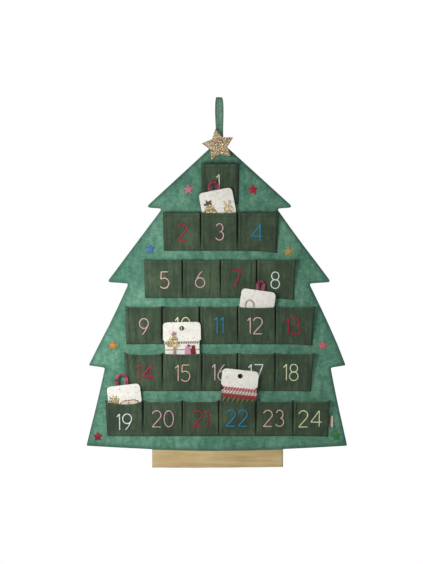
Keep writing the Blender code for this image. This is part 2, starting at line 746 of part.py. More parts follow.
def on_card(piece, slide, matrix):
    """Places a piece on a card, in the card's own frame."""
    piece.parent = slide
    piece.matrix_parent_inverse = Matrix.Identity(4)
    piece.matrix_basis = matrix
    return piece


def make_card(number, pocket, group):
    """A gift card on its slide: an empty at the mouth, its Z up the card and its -Y out of the front."""
    ease, flare, above, notch = CARDS[number]
    tilt = CARD_TILTS[number]
    sunk = pocket.mouth_z - pocket.seam_z - CARD_FOOT_CLEARANCE
    lean = math.atan((CARD_STANDOFF - CARD_FOOT_STANDOFF) / sunk)
    slide = bpy.data.objects.new(f"card_{number}_slide", None)
    group.objects.link(slide)
    slide.matrix_world = (
        Matrix.Translation((pocket.middle, FACE_Y - CARD_STANDOFF, pocket.mouth_z))
        @ Matrix.Rotation(-tilt, 4, "Y")
        @ Matrix.Rotation(lean, 4, "X")
    )
    inserted = sunk / math.cos(lean)
    narrow = (pocket.room * math.cos(tilt) - ease) / 2
    wide = narrow + flare / 2
    foot = narrow - inserted * abs(math.sin(tilt)) - CARD_SIDE_CLEARANCE
    right = [(foot, -inserted, CARD_SIDE_CLEARANCE), (narrow, 0.0, 0.0)]
    if flare:
        right += [(narrow, notch, 0.0), (wide, notch + wide - narrow, 0.0)]
    right.append((wide, above, CARD_ROUND))
    outlines = [rounded(right + [(-x, z, r) for x, z, r in reversed(right)], 5)]
    if number in HOLED_CARDS:
        hole = (0.0, above - CARD_HOLE_DROP)
        outlines.append(arc(hole, (CARD_HOLE_RADIUS, CARD_HOLE_RADIUS), 0, 345, 15))
    card = flat_shape(f"gift_card_{number}", outlines, CARD_THICKNESS, Matrix.Identity(4))
    finish(on_card(card, slide, UPRIGHT), group, (0.8, 0.77, 0.72), 0.7)
    return slide, narrow


def make_tie(name, slide, group):
    """A hair tie's loop that stands up behind its card's top edge."""
    card, across, space, rise, band = TIES[name]
    radius = space / 2
    top = CARDS[card][2]
    foot = top - TIE_OVERLAP
    crown = (across, top + rise - radius - band)
    outline = [(across + radius + band, foot)] + arc(crown, (radius + band, radius + band), 0, 180, 8)
    outline += [(across - radius - band, foot), (across - radius, foot)]
    outline += arc(crown, (radius, radius), 180, 0, 8) + [(across + radius, foot)]
    behind = CARD_THICKNESS / 2 + GAP + TIE_THICKNESS / 2
    tie = flat_shape(name, [outline], TIE_THICKNESS, Matrix.Identity(4))
    finish(on_card(tie, slide, standing(behind)), group, MAGENTA, 0.5)


def make_band(name, slide, half_width, group):
    """A flat hair band wrapped right round the card."""
    _, z, tall = BANDS[name]
    x, y = half_width + GAP, CARD_THICKNESS / 2 + GAP
    outlines = []
    for corner in (BAND_THICKNESS, 0.0):
        a, b = x + corner, y + corner
        outlines.append(rounded([(a, b, corner), (-a, b, corner), (-a, -b, corner), (a, -b, corner)], 2))
    band = flat_shape(name, outlines, tall, Matrix.Identity(4))
    finish(on_card(band, slide, Matrix.Translation((0.0, 0.0, z))), group, GIFT_COLOURS[name], 0.6)


def clip_outlines(shape, width, height):
    """A clip's outline, and its hole if it is a ring."""
    if shape in ("oval", "ring"):
        outlines = [arc((0.0, 0.0), (width / 2, height / 2), 0, 345, 15)]
        if shape == "ring":
            outlines.append(arc((0.0, 0.0), (width / 2 - RING_WIDTH, height / 2 - RING_WIDTH), 0, 345, 15))
        return outlines
    right = [(x * width / 2, z * height) for x, z in CLIP_OUTLINE_SHARES[shape]]
    left = [(-x, z) for x, z in reversed(right) if x > 0]
    return [right + left]


def make_clip(name, slide, half_width, group):
    """A flat hair clip on the front of a card, over the card's bands if it has some."""
    card, shape, *shares = CLIP_SHARES[name]
    width, height, x, z = (share * half_width for share in shares)
    banded = any(band[0] == card for band in BANDS.values())
    thickness = BANDED_CLIP_THICKNESS if banded else CLIP_THICKNESS
    under = BAND_THICKNESS + GAP if banded else 0.0
    front = CARD_THICKNESS / 2 + GAP + under + thickness / 2
    clip = flat_shape(name, clip_outlines(shape, width, height), thickness, Matrix.Identity(4))
    turn = Matrix.Rotation(-CLIP_TILTS.get(name, 0.0), 4, "Y")
    place = Matrix.Translation((x, -front, z)) @ turn @ UPRIGHT
    finish(on_card(clip, slide, place), group, GIFT_COLOURS[name], 0.5, 0.4)


def make_gifts(pockets, group):
    """The five gift cards and the hair accessories on them."""
    for number in CARDS:
        slide, half_width = make_card(number, pockets[int(number) - 1], group)
        for name, tie in TIES.items():
            if tie[0] == number:
                make_tie(name, slide, group)
        for name, band in BANDS.items():
            if band[0] == number:
                make_band(name, slide, half_width, group)
        for name, clip in CLIP_SHARES.items():
            if clip[0] == number:
                make_clip(name, slide, half_width, group)


def main():
    clear_scene()
    calendar = new_collection("christmas tree advent calendar")
    cutters = new_collection("cutters")
    make_panel(calendar, cutters)
    make_loop(calendar)
    make_trunk(calendar)
    make_star(calendar)
    rows = pocket_rows()
    for i, row in enumerate(rows):
        make_strip(f"pocket_strip_{i + 1}", row, calendar)
    pockets = [pocket for row in rows for pocket in row]
    for i, (pocket, colour) in enumerate(zip(pockets, NUMERAL_COLOURS)):
        make_numeral(i + 1, pocket, colour, calendar)
    make_label(pockets[-1], calendar)
    make_gifts(pockets, calendar)


main()
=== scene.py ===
"""The looks of the fabric Christmas tree advent calendar.

Velvet panel, pleated twill pockets, satin-stitch numerals, glitter star and gift cards, all laid on the
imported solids. Metres, +Z up, the front faces -Y.
"""

import json
import math
import random

import bmesh
import bpy
import numpy as np
from mathutils import Matrix, Vector, noise
from mathutils.geometry import delaunay_2d_cdt

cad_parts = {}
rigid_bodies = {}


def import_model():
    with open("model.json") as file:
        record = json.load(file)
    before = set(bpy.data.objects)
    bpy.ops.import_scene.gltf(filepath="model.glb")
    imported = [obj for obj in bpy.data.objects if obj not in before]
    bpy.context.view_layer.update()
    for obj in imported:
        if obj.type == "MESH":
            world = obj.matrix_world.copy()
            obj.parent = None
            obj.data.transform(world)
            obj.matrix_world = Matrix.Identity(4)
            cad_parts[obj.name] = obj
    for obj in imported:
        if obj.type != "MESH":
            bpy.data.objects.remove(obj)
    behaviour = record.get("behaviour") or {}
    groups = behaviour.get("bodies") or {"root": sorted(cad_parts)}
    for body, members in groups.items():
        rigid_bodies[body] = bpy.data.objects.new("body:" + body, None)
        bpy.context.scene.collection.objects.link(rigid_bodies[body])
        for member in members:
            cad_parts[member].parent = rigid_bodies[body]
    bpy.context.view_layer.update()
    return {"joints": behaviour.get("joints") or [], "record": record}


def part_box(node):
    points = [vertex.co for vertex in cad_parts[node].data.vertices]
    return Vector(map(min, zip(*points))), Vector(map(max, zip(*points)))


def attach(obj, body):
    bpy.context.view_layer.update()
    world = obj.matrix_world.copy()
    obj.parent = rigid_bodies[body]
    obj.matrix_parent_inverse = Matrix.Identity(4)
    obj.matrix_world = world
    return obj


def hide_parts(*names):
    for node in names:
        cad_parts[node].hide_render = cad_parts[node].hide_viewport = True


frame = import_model()

# The photograph's view
VIEW_CENTRE_X = -0.0154
VIEW_CENTRE_Z = -0.3762
VIEW_HEIGHT = 1.1562
CAMERA_DISTANCE = 3.0
SENSOR = 36.0
FLOOR_Z = -1.15
FLOOR_HALF = 6.0

# The panel: velvet rolled over its edge, wadding inside, plain cloth behind
ROLL_WIDTH = 0.009
ROLL_DEPTH = 0.0032
RIM_WIDTH = 0.0055
RIM_ROUND = 0.0018
RIM_BACK = 0.0019
VELVET_THICKNESS = 0.0008
PANEL_CELL = 0.0042
OUTLINE_STEP = 0.0026
# The tree's outer corners: sides longer than this meet in one, this far out at least, and how it's eased
LONG_SIDE = 0.009
TIP_FROM = 0.04
TIP_CUT = 0.0008
BLUNTER_FROM_Z = -0.545
BLUNTER_RISE = 0.0125
TIP_EASE = 0.0006
TIP_EASE_SHARE = 1.6
EDGE_DEPTHS = (0.0004, 0.0011, 0.0022, 0.0038, 0.0060, 0.0090)
PANEL_WRINKLE = 0.0006
WRINKLED_FROM = 0.02
EDGE_SHADE_WIDTH = 0.010
FLAT_WITHIN = 0.00002
# The edge is free to roll, except where the strap and the trunk come out
STRAP_HOLD = (0.009, 0.014)
STRAP_HOLD_BELOW_APEX = 0.036
TRUNK_HOLD = (-0.004, 0.0)
TRUNK_HOLD_ABOVE = 0.006
LEAST_ROLL_SHARE = 0.1
HOLD_DEPTH = 0.03
TURNED_FROM_SHARE = 0.8
# The wadding and the back: rings near their edges, the grid inside them and the back's rounded edge
WADDING_INSET = 0.0022
WADDING_GAP = 0.0003
WADDING_DEPTHS = (0.0015, 0.0040, 0.0068)
BACK_DEPTHS = (0.0004, 0.0009, 0.0016, 0.0040, 0.0052, 0.0060, 0.0068, 0.0080)
BACK_ROUND = 0.0016
BACK_DROP = 0.0007
BACK_SEAM_DEPTH = 0.0060
BACK_SEAM_WIDTH = 0.0009
PLAIN_CELL = 0.0065

# The pockets
STRIP_SEAM = 0.003
STRIP_RISE = 0.003
STRIP_CLOTH = 0.0009
POCKET_SIDE = 0.005
LOW_STANDOFF = 0.0018
SEAM_STANDOFF = 0.0013
BULGE_SHARE = 0.35
HEM_HEIGHT = 0.0062
HEM_RIDGE = 0.00045
HEM_GROOVE = 0.0004
GROOVE_WIDTH = 0.0006
OUTER_WALL = 0.0121
# The stitches along the mouths and the bottom seam
STITCH_STEP = 0.0036
STITCH_LENGTH = 0.0026
STITCH_RADIUS = 0.00026
STITCH_MARGIN = 0.004
STITCH_LOOK = 0.001
HEM_STITCH_RISE = 0.0002
SEAM_STITCH_DROP = 0.0012
WALL_COLUMN = 0.0015
PLEAT_RISE = 0.0014
# Each row's left end: how far it stands out at the mouth and how far it draws in down to the seam
ROW_STARTS = (
    (0.0020, 0.0020), (0.0022, 0.0020), (0.0012, 0.0020),
    (0.0010, 0.0020), (0.0022, 0.0030), (0.0030, 0.0040),
)
# Each row's right end: how far its pleat spreads out on the panel, how far it draws in from the mouth down to
# the seam, and how far its lower corner hangs
ROW_ENDS = (
    (0.0038, 0.0014, 0.0006), (0.0032, 0.0040, 0.0040), (0.0012, 0.0044, 0.0038),
    (0.0022, 0.0050, 0.0030), (0.0012, 0.0072, 0.0012), (0.0016, 0.0044, 0.0012),
)
END_SHAPE = 2.5
# The pleats that stand wider open: each pocket's right edge, drawn in
WIDE_PLEATS = {1: 0.0008, 3: 0.0022, 9: 0.0012, 10: 0.0010, 14: 0.0012, 15: 0.0008, 19: 0.0022, 22: 0.0010}
# A fold pressed into each wall beside its left pleat
FOLD_INSET = 0.0078
FOLD_WIDTH = 0.0015
FOLD_DEPTH = 0.0012
FOLD_SWAY = 0.0010
# Creases that run down from a mouth: pocket, then from and to, across in half widths and up in wall heights
CREASES = {
    6: ((0.52, 1.0, 0.48, 0.05),),
    7: ((0.74, 1.0, 0.70, 0.30),),
    12: ((0.55, 0.25, 0.75, 0.02),),
    14: ((-0.50, 1.0, -0.74, 0.72), (-0.36, 0.98, -0.58, 0.60)),
    15: ((0.84, 1.0, 0.70, 0.10),),
    18: ((-0.62, 0.98, -0.84, 0.70),),
    20: ((-0.70, 0.96, -0.52, 0.78),),
    22: ((-0.80, 1.0, -0.66, 0.76), (-0.62, 1.0, -0.58, 0.84)),
    24: ((-0.75, 0.98, -0.86, 0.55),),
}
CREASE_DEPTH = 0.0013
CREASE_WIDTH = 0.0016
# The pleat's path from the divider to the wall: across, and its share of the wall's standoff
PLEAT_PATH = (
    (0.0, 0.0), (0.0007, 0.0), (0.00125, 0.07), (0.0014, 0.22), (0.0013, 0.45), (0.0012, 0.66),
    (0.0014, 0.82), (0.0019, 0.93), (0.0027, 0.985), (0.0037, 1.0),
)
# Rings of a wall: how far below the mouth, then shares of what is left down to the seam
MOUTH_RINGS = (0.0, 0.0006, 0.0016, 0.0034, 0.0052, 0.0060, 0.0068, 0.0080)
WALL_RING_SHARES = (0.93, 0.86, 0.78, 0.70, 0.62, 0.54, 0.46, 0.38, 0.31, 0.24, 0.18, 0.12, 0.07, 0.03, 0.0)

# Numerals: the same strokes as on the solids, with finer arcs
NUMERAL_HEIGHT = 0.0365
NUMERAL_STROKE = 0.0029
STITCH_WIDTH = 0.0024
BOLD_STITCH_WIDTH = 0.0029
NUMERAL_LIFT = 0.0003
NUMERAL_THICKNESS = 0.0013
NUMERAL_RING = 0.0006
DIGIT_SPACE_SHARE = 0.19
DIGIT_WIDTH_SHARES = {
    "0": 0.56, "1": 0.17, "2": 0.54, "3": 0.50, "4": 0.68,
    "5": 0.52, "6": 0.56, "7": 0.52, "8": 0.52, "9": 0.54,
}
# A point is across in widths and up in heights. An arc is its centre, radii, first and last angle.
DIGIT_STROKE_SHARES = {
    "0": (("loop", ((0.5, 0.5), (0.5, 0.5), 0, 360)),),
    "1": (("line", (0.0, 0.8), (1.0, 1.0), (1.0, 0.0)),),
    "2": (("line", ((0.5, 0.72), (0.5, 0.28), 165, -25), (0.0, 0.0), (1.0, 0.0)),),
    "3": (("line", ((0.5, 0.74), (0.42, 0.26), 160, -80), ((0.5, 0.27), (0.5, 0.27), 70, -155)),),
    "4": (("line", (0.75, 0.0), (0.75, 1.0), (0.0, 0.3), (1.0, 0.3)),),
    "5": (("line", (0.93, 1.0), (0.12, 1.0), (0.06, 0.56), ((0.45, 0.31), (0.55, 0.31), 110, -145)),),
    "6": (("loop", ((0.5, 0.3), (0.5, 0.3), 0, 360)), ("line", (0.065, 0.45), (0.38, 0.78), (0.72, 1.0))),
    "7": (("line", (0.0, 1.0), (1.0, 1.0), (0.3, 0.0)),),
    "8": (("loop", ((0.5, 0.76), (0.43, 0.24), 0, 360)), ("loop", ((0.5, 0.27), (0.5, 0.27), 0, 360))),
    "9": (("loop", ((0.5, 0.7), (0.5, 0.3), 0, 360)), ("line", (0.935, 0.55), (0.62, 0.22), (0.28, 0.0))),
}
ARC_STEP_DEGREES = 9
# How far right of its solid's middle a numeral was stitched, by pocket
NUMERAL_NUDGES = {10: 0.0033, 14: 0.0012, 24: 0.0014}

# Small embroidered stars: row, side, distance out from the row's end, drop below its mouth, colour and slot
SMALL_STAR_RADIUS = 0.0117
SMALL_STAR_INNER_SHARE = 0.5
SMALL_STARS = (
    (1, -1, 0.0274, 0.0510, (206, 120, 140), "thread_pink"),
    (1, 1, 0.0314, 0.0521, (182, 10, 40), "thread_red"),
    (2, -1, 0.0282, 0.0742, (60, 116, 168), "thread_blue"),
    (2, 1, 0.0226, 0.0794, (190, 160, 84), "thread_yellow"),
    (4, -1, 0.0265, 0.0792, (196, 130, 50), "thread_peach"),
    (4, 1, 0.0186, 0.0786, (206, 112, 116), "thread_coral"),
    (6, -1, 0.0185, 0.0731, (140, 12, 30), "thread_red"),
    (6, 1, 0.0150, 0.0725, (42, 124, 54), "thread_yellow"),
)

RED, PINK, BLUE = (170, 24, 52), (223, 178, 180), (30, 131, 169)
CORAL, WHITE, YELLOW = (232, 189, 174), (240, 254, 246), (237, 240, 192)
PEACH, MAUVE, ROSE = (222, 185, 166), (224, 188, 197), (231, 195, 193)
NUMERAL_COLOURS = (
    YELLOW, RED, PINK, BLUE, CORAL, PINK, RED, WHITE, PINK, YELLOW, BLUE, ROSE,
    RED, RED, PEACH, MAUVE, WHITE, YELLOW, WHITE, PINK, RED, BLUE, CORAL, YELLOW,
)

# The hanging strap
RIBBON_WIDTH = 0.0150
RIBBON_CROWN_WIDTH = 0.0130
RIBBON_THICKNESS = 0.0018
# How far right each leg lies low down and how much further at the top
FRONT_LEG_SHIFT = (0.0008, 0.0015)
BACK_LEG_SHIFT = (0.0014, -0.0026)
CROWN_FULLNESS = 1.4
LEG_LENGTH = 0.067
CROWN_RADIUS = 0.0045
TAIL_LENGTH = 0.03
STRAP_SIDES = 44
CROWN_SPAN = 7.0
# Where across the strap its fold lies, in half widths
STRAP_FOLD = -0.40

# A hair tie and the ribbon: band width, half thickness and its two strands' places and widths in band widths
TIE_FORM = (0.0044, 0.0008, ((-0.27, 0.46), (0.27, 0.46)))
RIBBON_FORM = (0.0048, 0.00055, ((-0.42, 0.8), (0.42, 0.8)))
# How far a loop's legs draw in at the card, as a share of its radius
LEG_DRAW_SHARE = 0.18
LEG_STEPS = 8

# The hair tie's back strands inside its loop, coloured darker as painted shade
INNER_STRANDS = 4
INNER_PITCH = 0.0021
INNER_INSET = 0.0055
INNER_DROP = 0.0053
INNER_THIN = 0.0009

# The glitter star, the trunk and the label
STAR_SPREAD = 1.07
STAR_EDGE = 0.0016
GLITTER_CELL = 0.0013
GLITTER_HEIGHT = 0.00035
TRUNK_CLOTH = 0.0009
TRUNK_PINCH = 0.0035
TRUNK_COLUMNS = 90
TRUNK_STEPS = 8
BOARD_INSET = 0.004
BOARD_RISE = 0.0014
BOARD_HALF = 0.0006
BOARD_EDGE_HALF = 0.0004
LABEL_COLUMNS = 14
LABEL_ROWS = 10
LABEL_TAPE = 0.00025

# The clips: even steps along their outlines, the cell of their fill and how they clear the card's face
CLIP_STEP = 0.0009
CLIP_CELL = 0.0010
CLIP_CLEAR = 0.0001
CLIP_UNDER = 0.0008
WIRE_STEP = 0.0007
WIRE_CLEAR = 0.0002
# How far down the oval lies from its solid's middle
OVAL_DROP_SHARE = 0.34

# The bands: node, the cord's two colours, its pitch and the bias between them, then how far the band stands
# out at the sides, drops and shifts
CORD_BANDS = (
    ("striped_band_15", (246, 232, 224), (74, 24, 26), 0.0047, -0.10, 0.0, 0.0, 0.0),
    ("gold_band_15", (214, 198, 154), (178, 156, 112), 0.0020, 0.0, 0.0, 0.0, 0.0),
    ("red_white_band_22", (246, 186, 192), (170, 6, 38), 0.0058, 0.04, 0.0014, 0.0, 0.0018),
    ("gold_white_band_22", (250, 232, 208), (98, 86, 62), 0.0064, -0.70, 0.0014, 0.0004, 0.0018),
    ("dark_red_band_22", (196, 66, 70), (126, 8, 26), 0.0054, 0.20, 0.0014, 0.0018, 0.0018),
    ("green_gold_band_22", (54, 76, 46), (158, 134, 66), 0.0098, -0.80, 0.0010, 0.0056, 0.0016),
)
CORD_CORNER = 0.0005
CORD_SIDES = 12

# The lamps: place, size and power, all turned to one point
LIT_POINT = (0.0, 0.0, -0.4)
LAMPS = {
    "key": ((-0.42, -0.52, -0.42), 0.28, 3.1),
    "fill": ((1.0, -1.1, -0.36), 0.8, 2.6),
    "behind": ((0.4, 2.6, 0.9), 1.6, 40.0),
}
AMBIENT = 0.19

BODY = "calendar"
record = frame["record"]
slots = {part["node"]: part["material_slot"] for part in record["subparts"]}
face_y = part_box("front_panel")[0].y


def rgb(red, green, blue):
    """A colour from its usual 0 to 255 values, as Blender's linear ones."""
    found = []
    for value in (red, green, blue):
        share = value / 255
        found.append(share / 12.92 if share <= 0.04045 else ((share + 0.055) / 1.055) ** 2.4)
    return (*found, 1.0)


def smooth_step(low, high, value):
    t = min(1.0, max(0.0, (value - low) / (high - low)))
    return t * t * (3 - 2 * t)


def bell(value):
    return math.exp(-value * value)


def fall_off(depth, width):
    """How far a rounded edge has dropped: 1 at the edge, 0 from its width inwards."""
    t = max(0.0, 1.0 - depth / width)
    return 1 - math.sqrt(1 - t * t)


def uneven(x, y, z):
    return noise.noise(Vector((x, y, z)))


def arc(centre, radii, start, end, count):
    """Points along an oval arc with both its ends. The angles are in degrees."""
    found = []
    for k in range(count + 1):
        angle = math.radians(start + (end - start) * k / count)
        found.append((centre[0] + radii[0] * math.cos(angle), centre[1] + radii[1] * math.sin(angle)))
    return found


def star_points(centre, radii, inner_share, turn):
    """The ten corners of a five-pointed star, starting at its top."""
    found = []
    for i in range(10):
        size = inner_share if i % 2 else 1.0
        angle = math.pi / 2 + turn + math.pi * i / 5
        x, z = radii[0] * size * math.cos(angle), radii[1] * size * math.sin(angle)
        found.append((centre[0] + x, centre[1] + z))
    return found


# Outlines of the clips as shares of their nodes' boxes
PARCEL_FRONT_SHARES = (
    (-0.01, 0.62), (0.07, 0.80), (0.22, 0.86), (0.34, 0.80), (0.44, 0.66), (0.52, 0.46), (0.57, 0.20),
    (0.58, 0.00), (0.40, -0.03), (0.20, 0.03), (0.05, -0.03), (-0.03, 0.34),
)
PARCEL_SIDE_SHARES = (
    (0.50, 0.20), (0.51, 0.45), (0.58, 0.64), (0.68, 0.79), (0.80, 0.85), (0.91, 0.79), (0.96, 0.47),
    (0.98, 0.04), (0.88, -0.03), (0.52, -0.03),
)
PARCEL_KNOT_SHARE = (0.31, 0.90)
PARCEL_KNOT_RADIUS = 0.045
PARCEL_STRING_SHARES = (PARCEL_KNOT_SHARE, (0.42, 0.84), (0.60, 0.82), (0.79, 0.88), (0.93, 0.80))
ANTLER_SHARES = (
    ((0.50, 0.50), (0.36, 0.66), (0.24, 0.78), (0.12, 0.98)), ((0.30, 0.72), (0.10, 0.74)),
    ((0.22, 0.82), (0.34, 0.96)), ((0.50, 0.50), (0.66, 0.66), (0.78, 0.76), (0.90, 0.94)),
    ((0.70, 0.70), (0.92, 0.70)), ((0.80, 0.78), (0.70, 0.96)),
)
BOW_TAIL_SHARES = (((0.36, 0.02), (0.46, 0.3), (0.5, 0.5)), ((0.72, 0.02), (0.58, 0.3), (0.5, 0.5)))
LEANING_TREE_SHARES = {
    "body": (
        (0.51, 0.81), (0.68, 0.68), (0.64, 0.64), (0.78, 0.52), (0.73, 0.48), (0.90, 0.39), (0.70, 0.35),
        (0.58, 0.34), (0.56, 0.24), (0.38, 0.24), (0.38, 0.33), (0.04, 0.35), (-0.18, 0.47), (0.02, 0.56),
        (-0.04, 0.60), (0.16, 0.68), (0.10, 0.73), (0.31, 0.79),
    ),
    "cap": star_points((0.42, 0.89), (0.26, 0.11), 0.5, 0.25),
    "foot": ((0.35, 0.02), (0.57, 0.0), (0.54, 0.27), (0.34, 0.26)),
}
ROUND_TREE_SHARES = {
    "body": (
        (-0.22, 0.0), (1.02, 0.0), (1.06, 0.14), (0.92, 0.22), (0.95, 0.34), (0.80, 0.42), (0.82, 0.54),
        (0.66, 0.60), (0.60, 0.74), (0.34, 0.74), (0.22, 0.62), (0.02, 0.56), (0.06, 0.44), (-0.14, 0.36),
        (-0.10, 0.24), (-0.24, 0.16),
    ),
    "cap": (
        (0.06, 0.68), (0.72, 0.68), (0.66, 0.80), (0.70, 1.0), (0.42, 0.90), (0.20, 1.06), (0.22, 0.84),
        (-0.04, 0.80),
    ),
    "foot": ((0.44, -0.06), (0.60, -0.06), (0.60, 0.02), (0.44, 0.02)),
}
CROWN_SHARES = (
    (0.06, 0.12), (0.94, 0.10), (0.90, 0.42), (1.0, 0.62), (0.80, 0.66), (0.82, 0.92), (0.60, 0.76),
    (0.46, 1.0), (0.38, 0.76), (0.12, 0.88), (0.22, 0.62), (0.0, 0.52), (0.10, 0.36),
)


def directions(line, closed):
    """The unit direction at each point of a line."""
    along = np.roll(line, -1, axis=0) - np.roll(line, 1, axis=0) if closed else np.gradient(line, axis=0)
    return along / np.maximum(np.linalg.norm(along, axis=1), 1e-9)[:, None]


class Paint:
    """A material's node tree, with short calls for its nodes."""

    def __init__(self, name, roughness=0.8, metallic=0.0, **constants):
        self.material = bpy.data.materials.new(name)
        self.material.use_nodes = True
        self.tree = self.material.node_tree
        self.shader = self.tree.nodes["Principled BSDF"]
        self.place = self.tree.nodes.new("ShaderNodeTexCoord").outputs["Object"]
        self.shader.inputs["Roughness"].default_value = roughness
        self.shader.inputs["Metallic"].default_value = metallic
        for key, value in constants.items():
            self.shader.inputs[key.replace("_", " ")].default_value = value

    def put(self, socket, value):
        if isinstance(value, bpy.types.NodeSocket):
            self.tree.links.new(value, socket)
        else:
            socket.default_value = value

    def node(self, kind, settings=None, **inputs):
        made = self.tree.nodes.new(kind)
        for key, value in (settings or {}).items():
            setattr(made, key, value)
        for key, value in inputs.items():
            self.put(made.inputs[key.replace("_", " ")], value)
        return made

    def stretched(self, scale, turn=(0.0, 0.0, 0.0)):
        """The place, scaled by unlike amounts along each axis."""
        return self.node("ShaderNodeMapping", Vector=self.place, Scale=scale, Rotation=turn).outputs[0]

    def noise(self, scale, detail=3.0, roughness=0.55, place=None, distortion=0.0):
        made = self.node(
            "ShaderNodeTexNoise", Vector=place or self.place, Scale=scale, Detail=detail, Roughness=roughness,
            Distortion=distortion,
        )
        return made.outputs[0]

    def cells(self, scale, output="Distance"):
        return self.node("ShaderNodeTexVoronoi", Vector=self.place, Scale=scale).outputs[output]

    def waves(self, scale, direction, distortion):
        settings = {"bands_direction": direction}
        made = self.node("ShaderNodeTexWave", settings, Vector=self.place, Scale=scale, Distortion=distortion)
        return made.outputs["Fac"]

    def math(self, operation, first, second=0.0, third=0.0):
        made = self.tree.nodes.new("ShaderNodeMath")
        made.operation = operation
        for socket, value in zip(made.inputs, (first, second, third)):
            self.put(socket, value)
        return made.outputs[0]

    def ramp(self, value, *stops):
        """Colours along a value: stops are (place, colour)."""
        made = self.node("ShaderNodeValToRGB", Fac=value)
        elements = made.color_ramp.elements
        while len(elements) < len(stops):
            elements.new(0.5)
        for element, (place, colour) in zip(elements, stops):
            element.position = place
            element.color = colour
        return made.outputs[0]

    def mixed(self, share, first, second, blend="MIX"):
        made = self.tree.nodes.new("ShaderNodeMix")
        made.data_type = "RGBA"
        made.blend_type = blend
        for socket, value in zip((made.inputs[0], made.inputs[6], made.inputs[7]), (share, first, second)):
            self.put(socket, value)
        return made.outputs[2]

    def mark(self):
        """The number that each point of the piece carries."""
        return self.node("ShaderNodeAttribute", {"attribute_name": "mark"}).outputs["Fac"]

    def done(self, colour, height=None, depth=0.0003, strength=1.0, roughness=None):
        self.put(self.shader.inputs["Base Color"], colour)
        if roughness is not None:
            self.put(self.shader.inputs["Roughness"], roughness)
        if height is not None:
            bump = self.node("ShaderNodeBump", Height=height, Strength=strength, Distance=depth)
            self.put(self.shader.inputs["Normal"], bump.outputs[0])
        return self.material


def velvet(name, dark, middle, light, edge):
    """Crushed velvet: soft patches where the pile leans, a fine nap, and painted shade in the edge colour
    where the points' mark says, darker on rolled edges.
    """
    paint = Paint(name, 0.9, Sheen_Weight=0.35, Sheen_Roughness=0.35, Sheen_Tint=rgb(190, 232, 210))
    patches = paint.noise(13.0, 5.0, 0.68, distortion=0.5)
    streaks = paint.noise(95.0, 4.0, 0.66, paint.stretched((1.0, 1.0, 0.5), (0.0, 0.5, 0.0)))
    strokes = paint.noise(210.0, 3.0, 0.7, paint.stretched((0.45, 1.0, 1.0), (0.0, 0.7, 0.0)), 0.8)
    nap = paint.noise(900.0, 2.0, 0.6)
    lean = paint.math("MULTIPLY_ADD", streaks, 0.36, paint.math("MULTIPLY", patches, 0.34))
    lean = paint.math("MULTIPLY_ADD", strokes, 0.30, lean)
    lean = paint.math("MULTIPLY_ADD", nap, 0.16, paint.math("SUBTRACT", lean, 0.08))
    colour = paint.ramp(lean, (0.385, dark), (0.5, middle), (0.615, light))
    # Painted shade: the points' mark blends in the darker edge colour.
    colour = paint.mixed(paint.math("MULTIPLY", paint.mark(), 0.7), colour, edge)
    height = paint.math("MULTIPLY_ADD", patches, 2.0, paint.math("MULTIPLY", nap, 0.5))
    return paint.done(colour, height, 0.0006, 0.5)


def twill(name, dark, middle, light):
    """Twill: fine diagonal ribs, uneven dye, darker lines where it is sewn, and painted shade in the pleats,
    pressed folds and creases, both carried by the points' mark.
    """
    paint = Paint(name, 0.88, Sheen_Weight=0.12, Sheen_Roughness=0.5)
    ribs = paint.waves(210.0, "DIAGONAL", 1.2)
    yarn = paint.noise(420.0, 2.0, 0.6, paint.stretched((1.0, 1.0, 0.3)))
    patches = paint.noise(22.0, 4.0, 0.6)
    streaks = paint.noise(130.0, 3.0, 0.65, paint.stretched((1.0, 1.0, 0.10)))
    tone = paint.math("MULTIPLY_ADD", patches, 0.4, paint.math("MULTIPLY", streaks, 0.4))
    tone = paint.math("MULTIPLY_ADD", yarn, 0.2, tone)
    colour = paint.ramp(tone, (0.41, dark), (0.5, middle), (0.59, light))
    colour = paint.mixed(paint.math("MULTIPLY", ribs, 0.18), colour, dark)
    # The mark blends in near-black: the sewn lines, and painted shade in the pleats, folds and creases.
    colour = paint.mixed(paint.math("MULTIPLY", paint.mark(), 0.65), colour, rgb(22, 34, 24))
    height = paint.math("MULTIPLY_ADD", ribs, 0.6, paint.math("MULTIPLY", yarn, 0.5))
    return paint.done(colour, height, 0.0003, 0.6)


def woven(name, dark, light, scale=330.0):
    """Plain weave: threads both ways with slubs and a little unevenness."""
    paint = Paint(name, 0.85, Sheen_Weight=0.1)
    warp = paint.waves(scale, "X", 0.8)
    weft = paint.waves(scale, "Z", 0.8)
    weave = paint.math("MAXIMUM", warp, weft)
    slubs = paint.noise(140.0, 3.0, 0.6, paint.stretched((0.08, 1.0, 1.0)))
    patches = paint.noise(14.0, 3.0, 0.5)
    tone = paint.math("MULTIPLY_ADD", slubs, 0.5, paint.math("MULTIPLY", patches, 0.3))
    tone = paint.math("MULTIPLY_ADD", weave, 0.2, tone)
    colour = paint.ramp(tone, (0.36, dark), (0.66, light))
    return paint.done(colour, paint.math("MULTIPLY_ADD", slubs, 0.5, weave), 0.00025, 0.6)


def fibres(name, dark, light, scale=260.0):
    """Felt or wadding: matted fibres."""
    paint = Paint(name, 0.95, Sheen_Weight=0.25)
    hairs = paint.noise(scale, 5.0, 0.7, distortion=1.5)
    return paint.done(paint.ramp(hairs, (0.35, dark), (0.65, light)), hairs, 0.0004, 0.7)


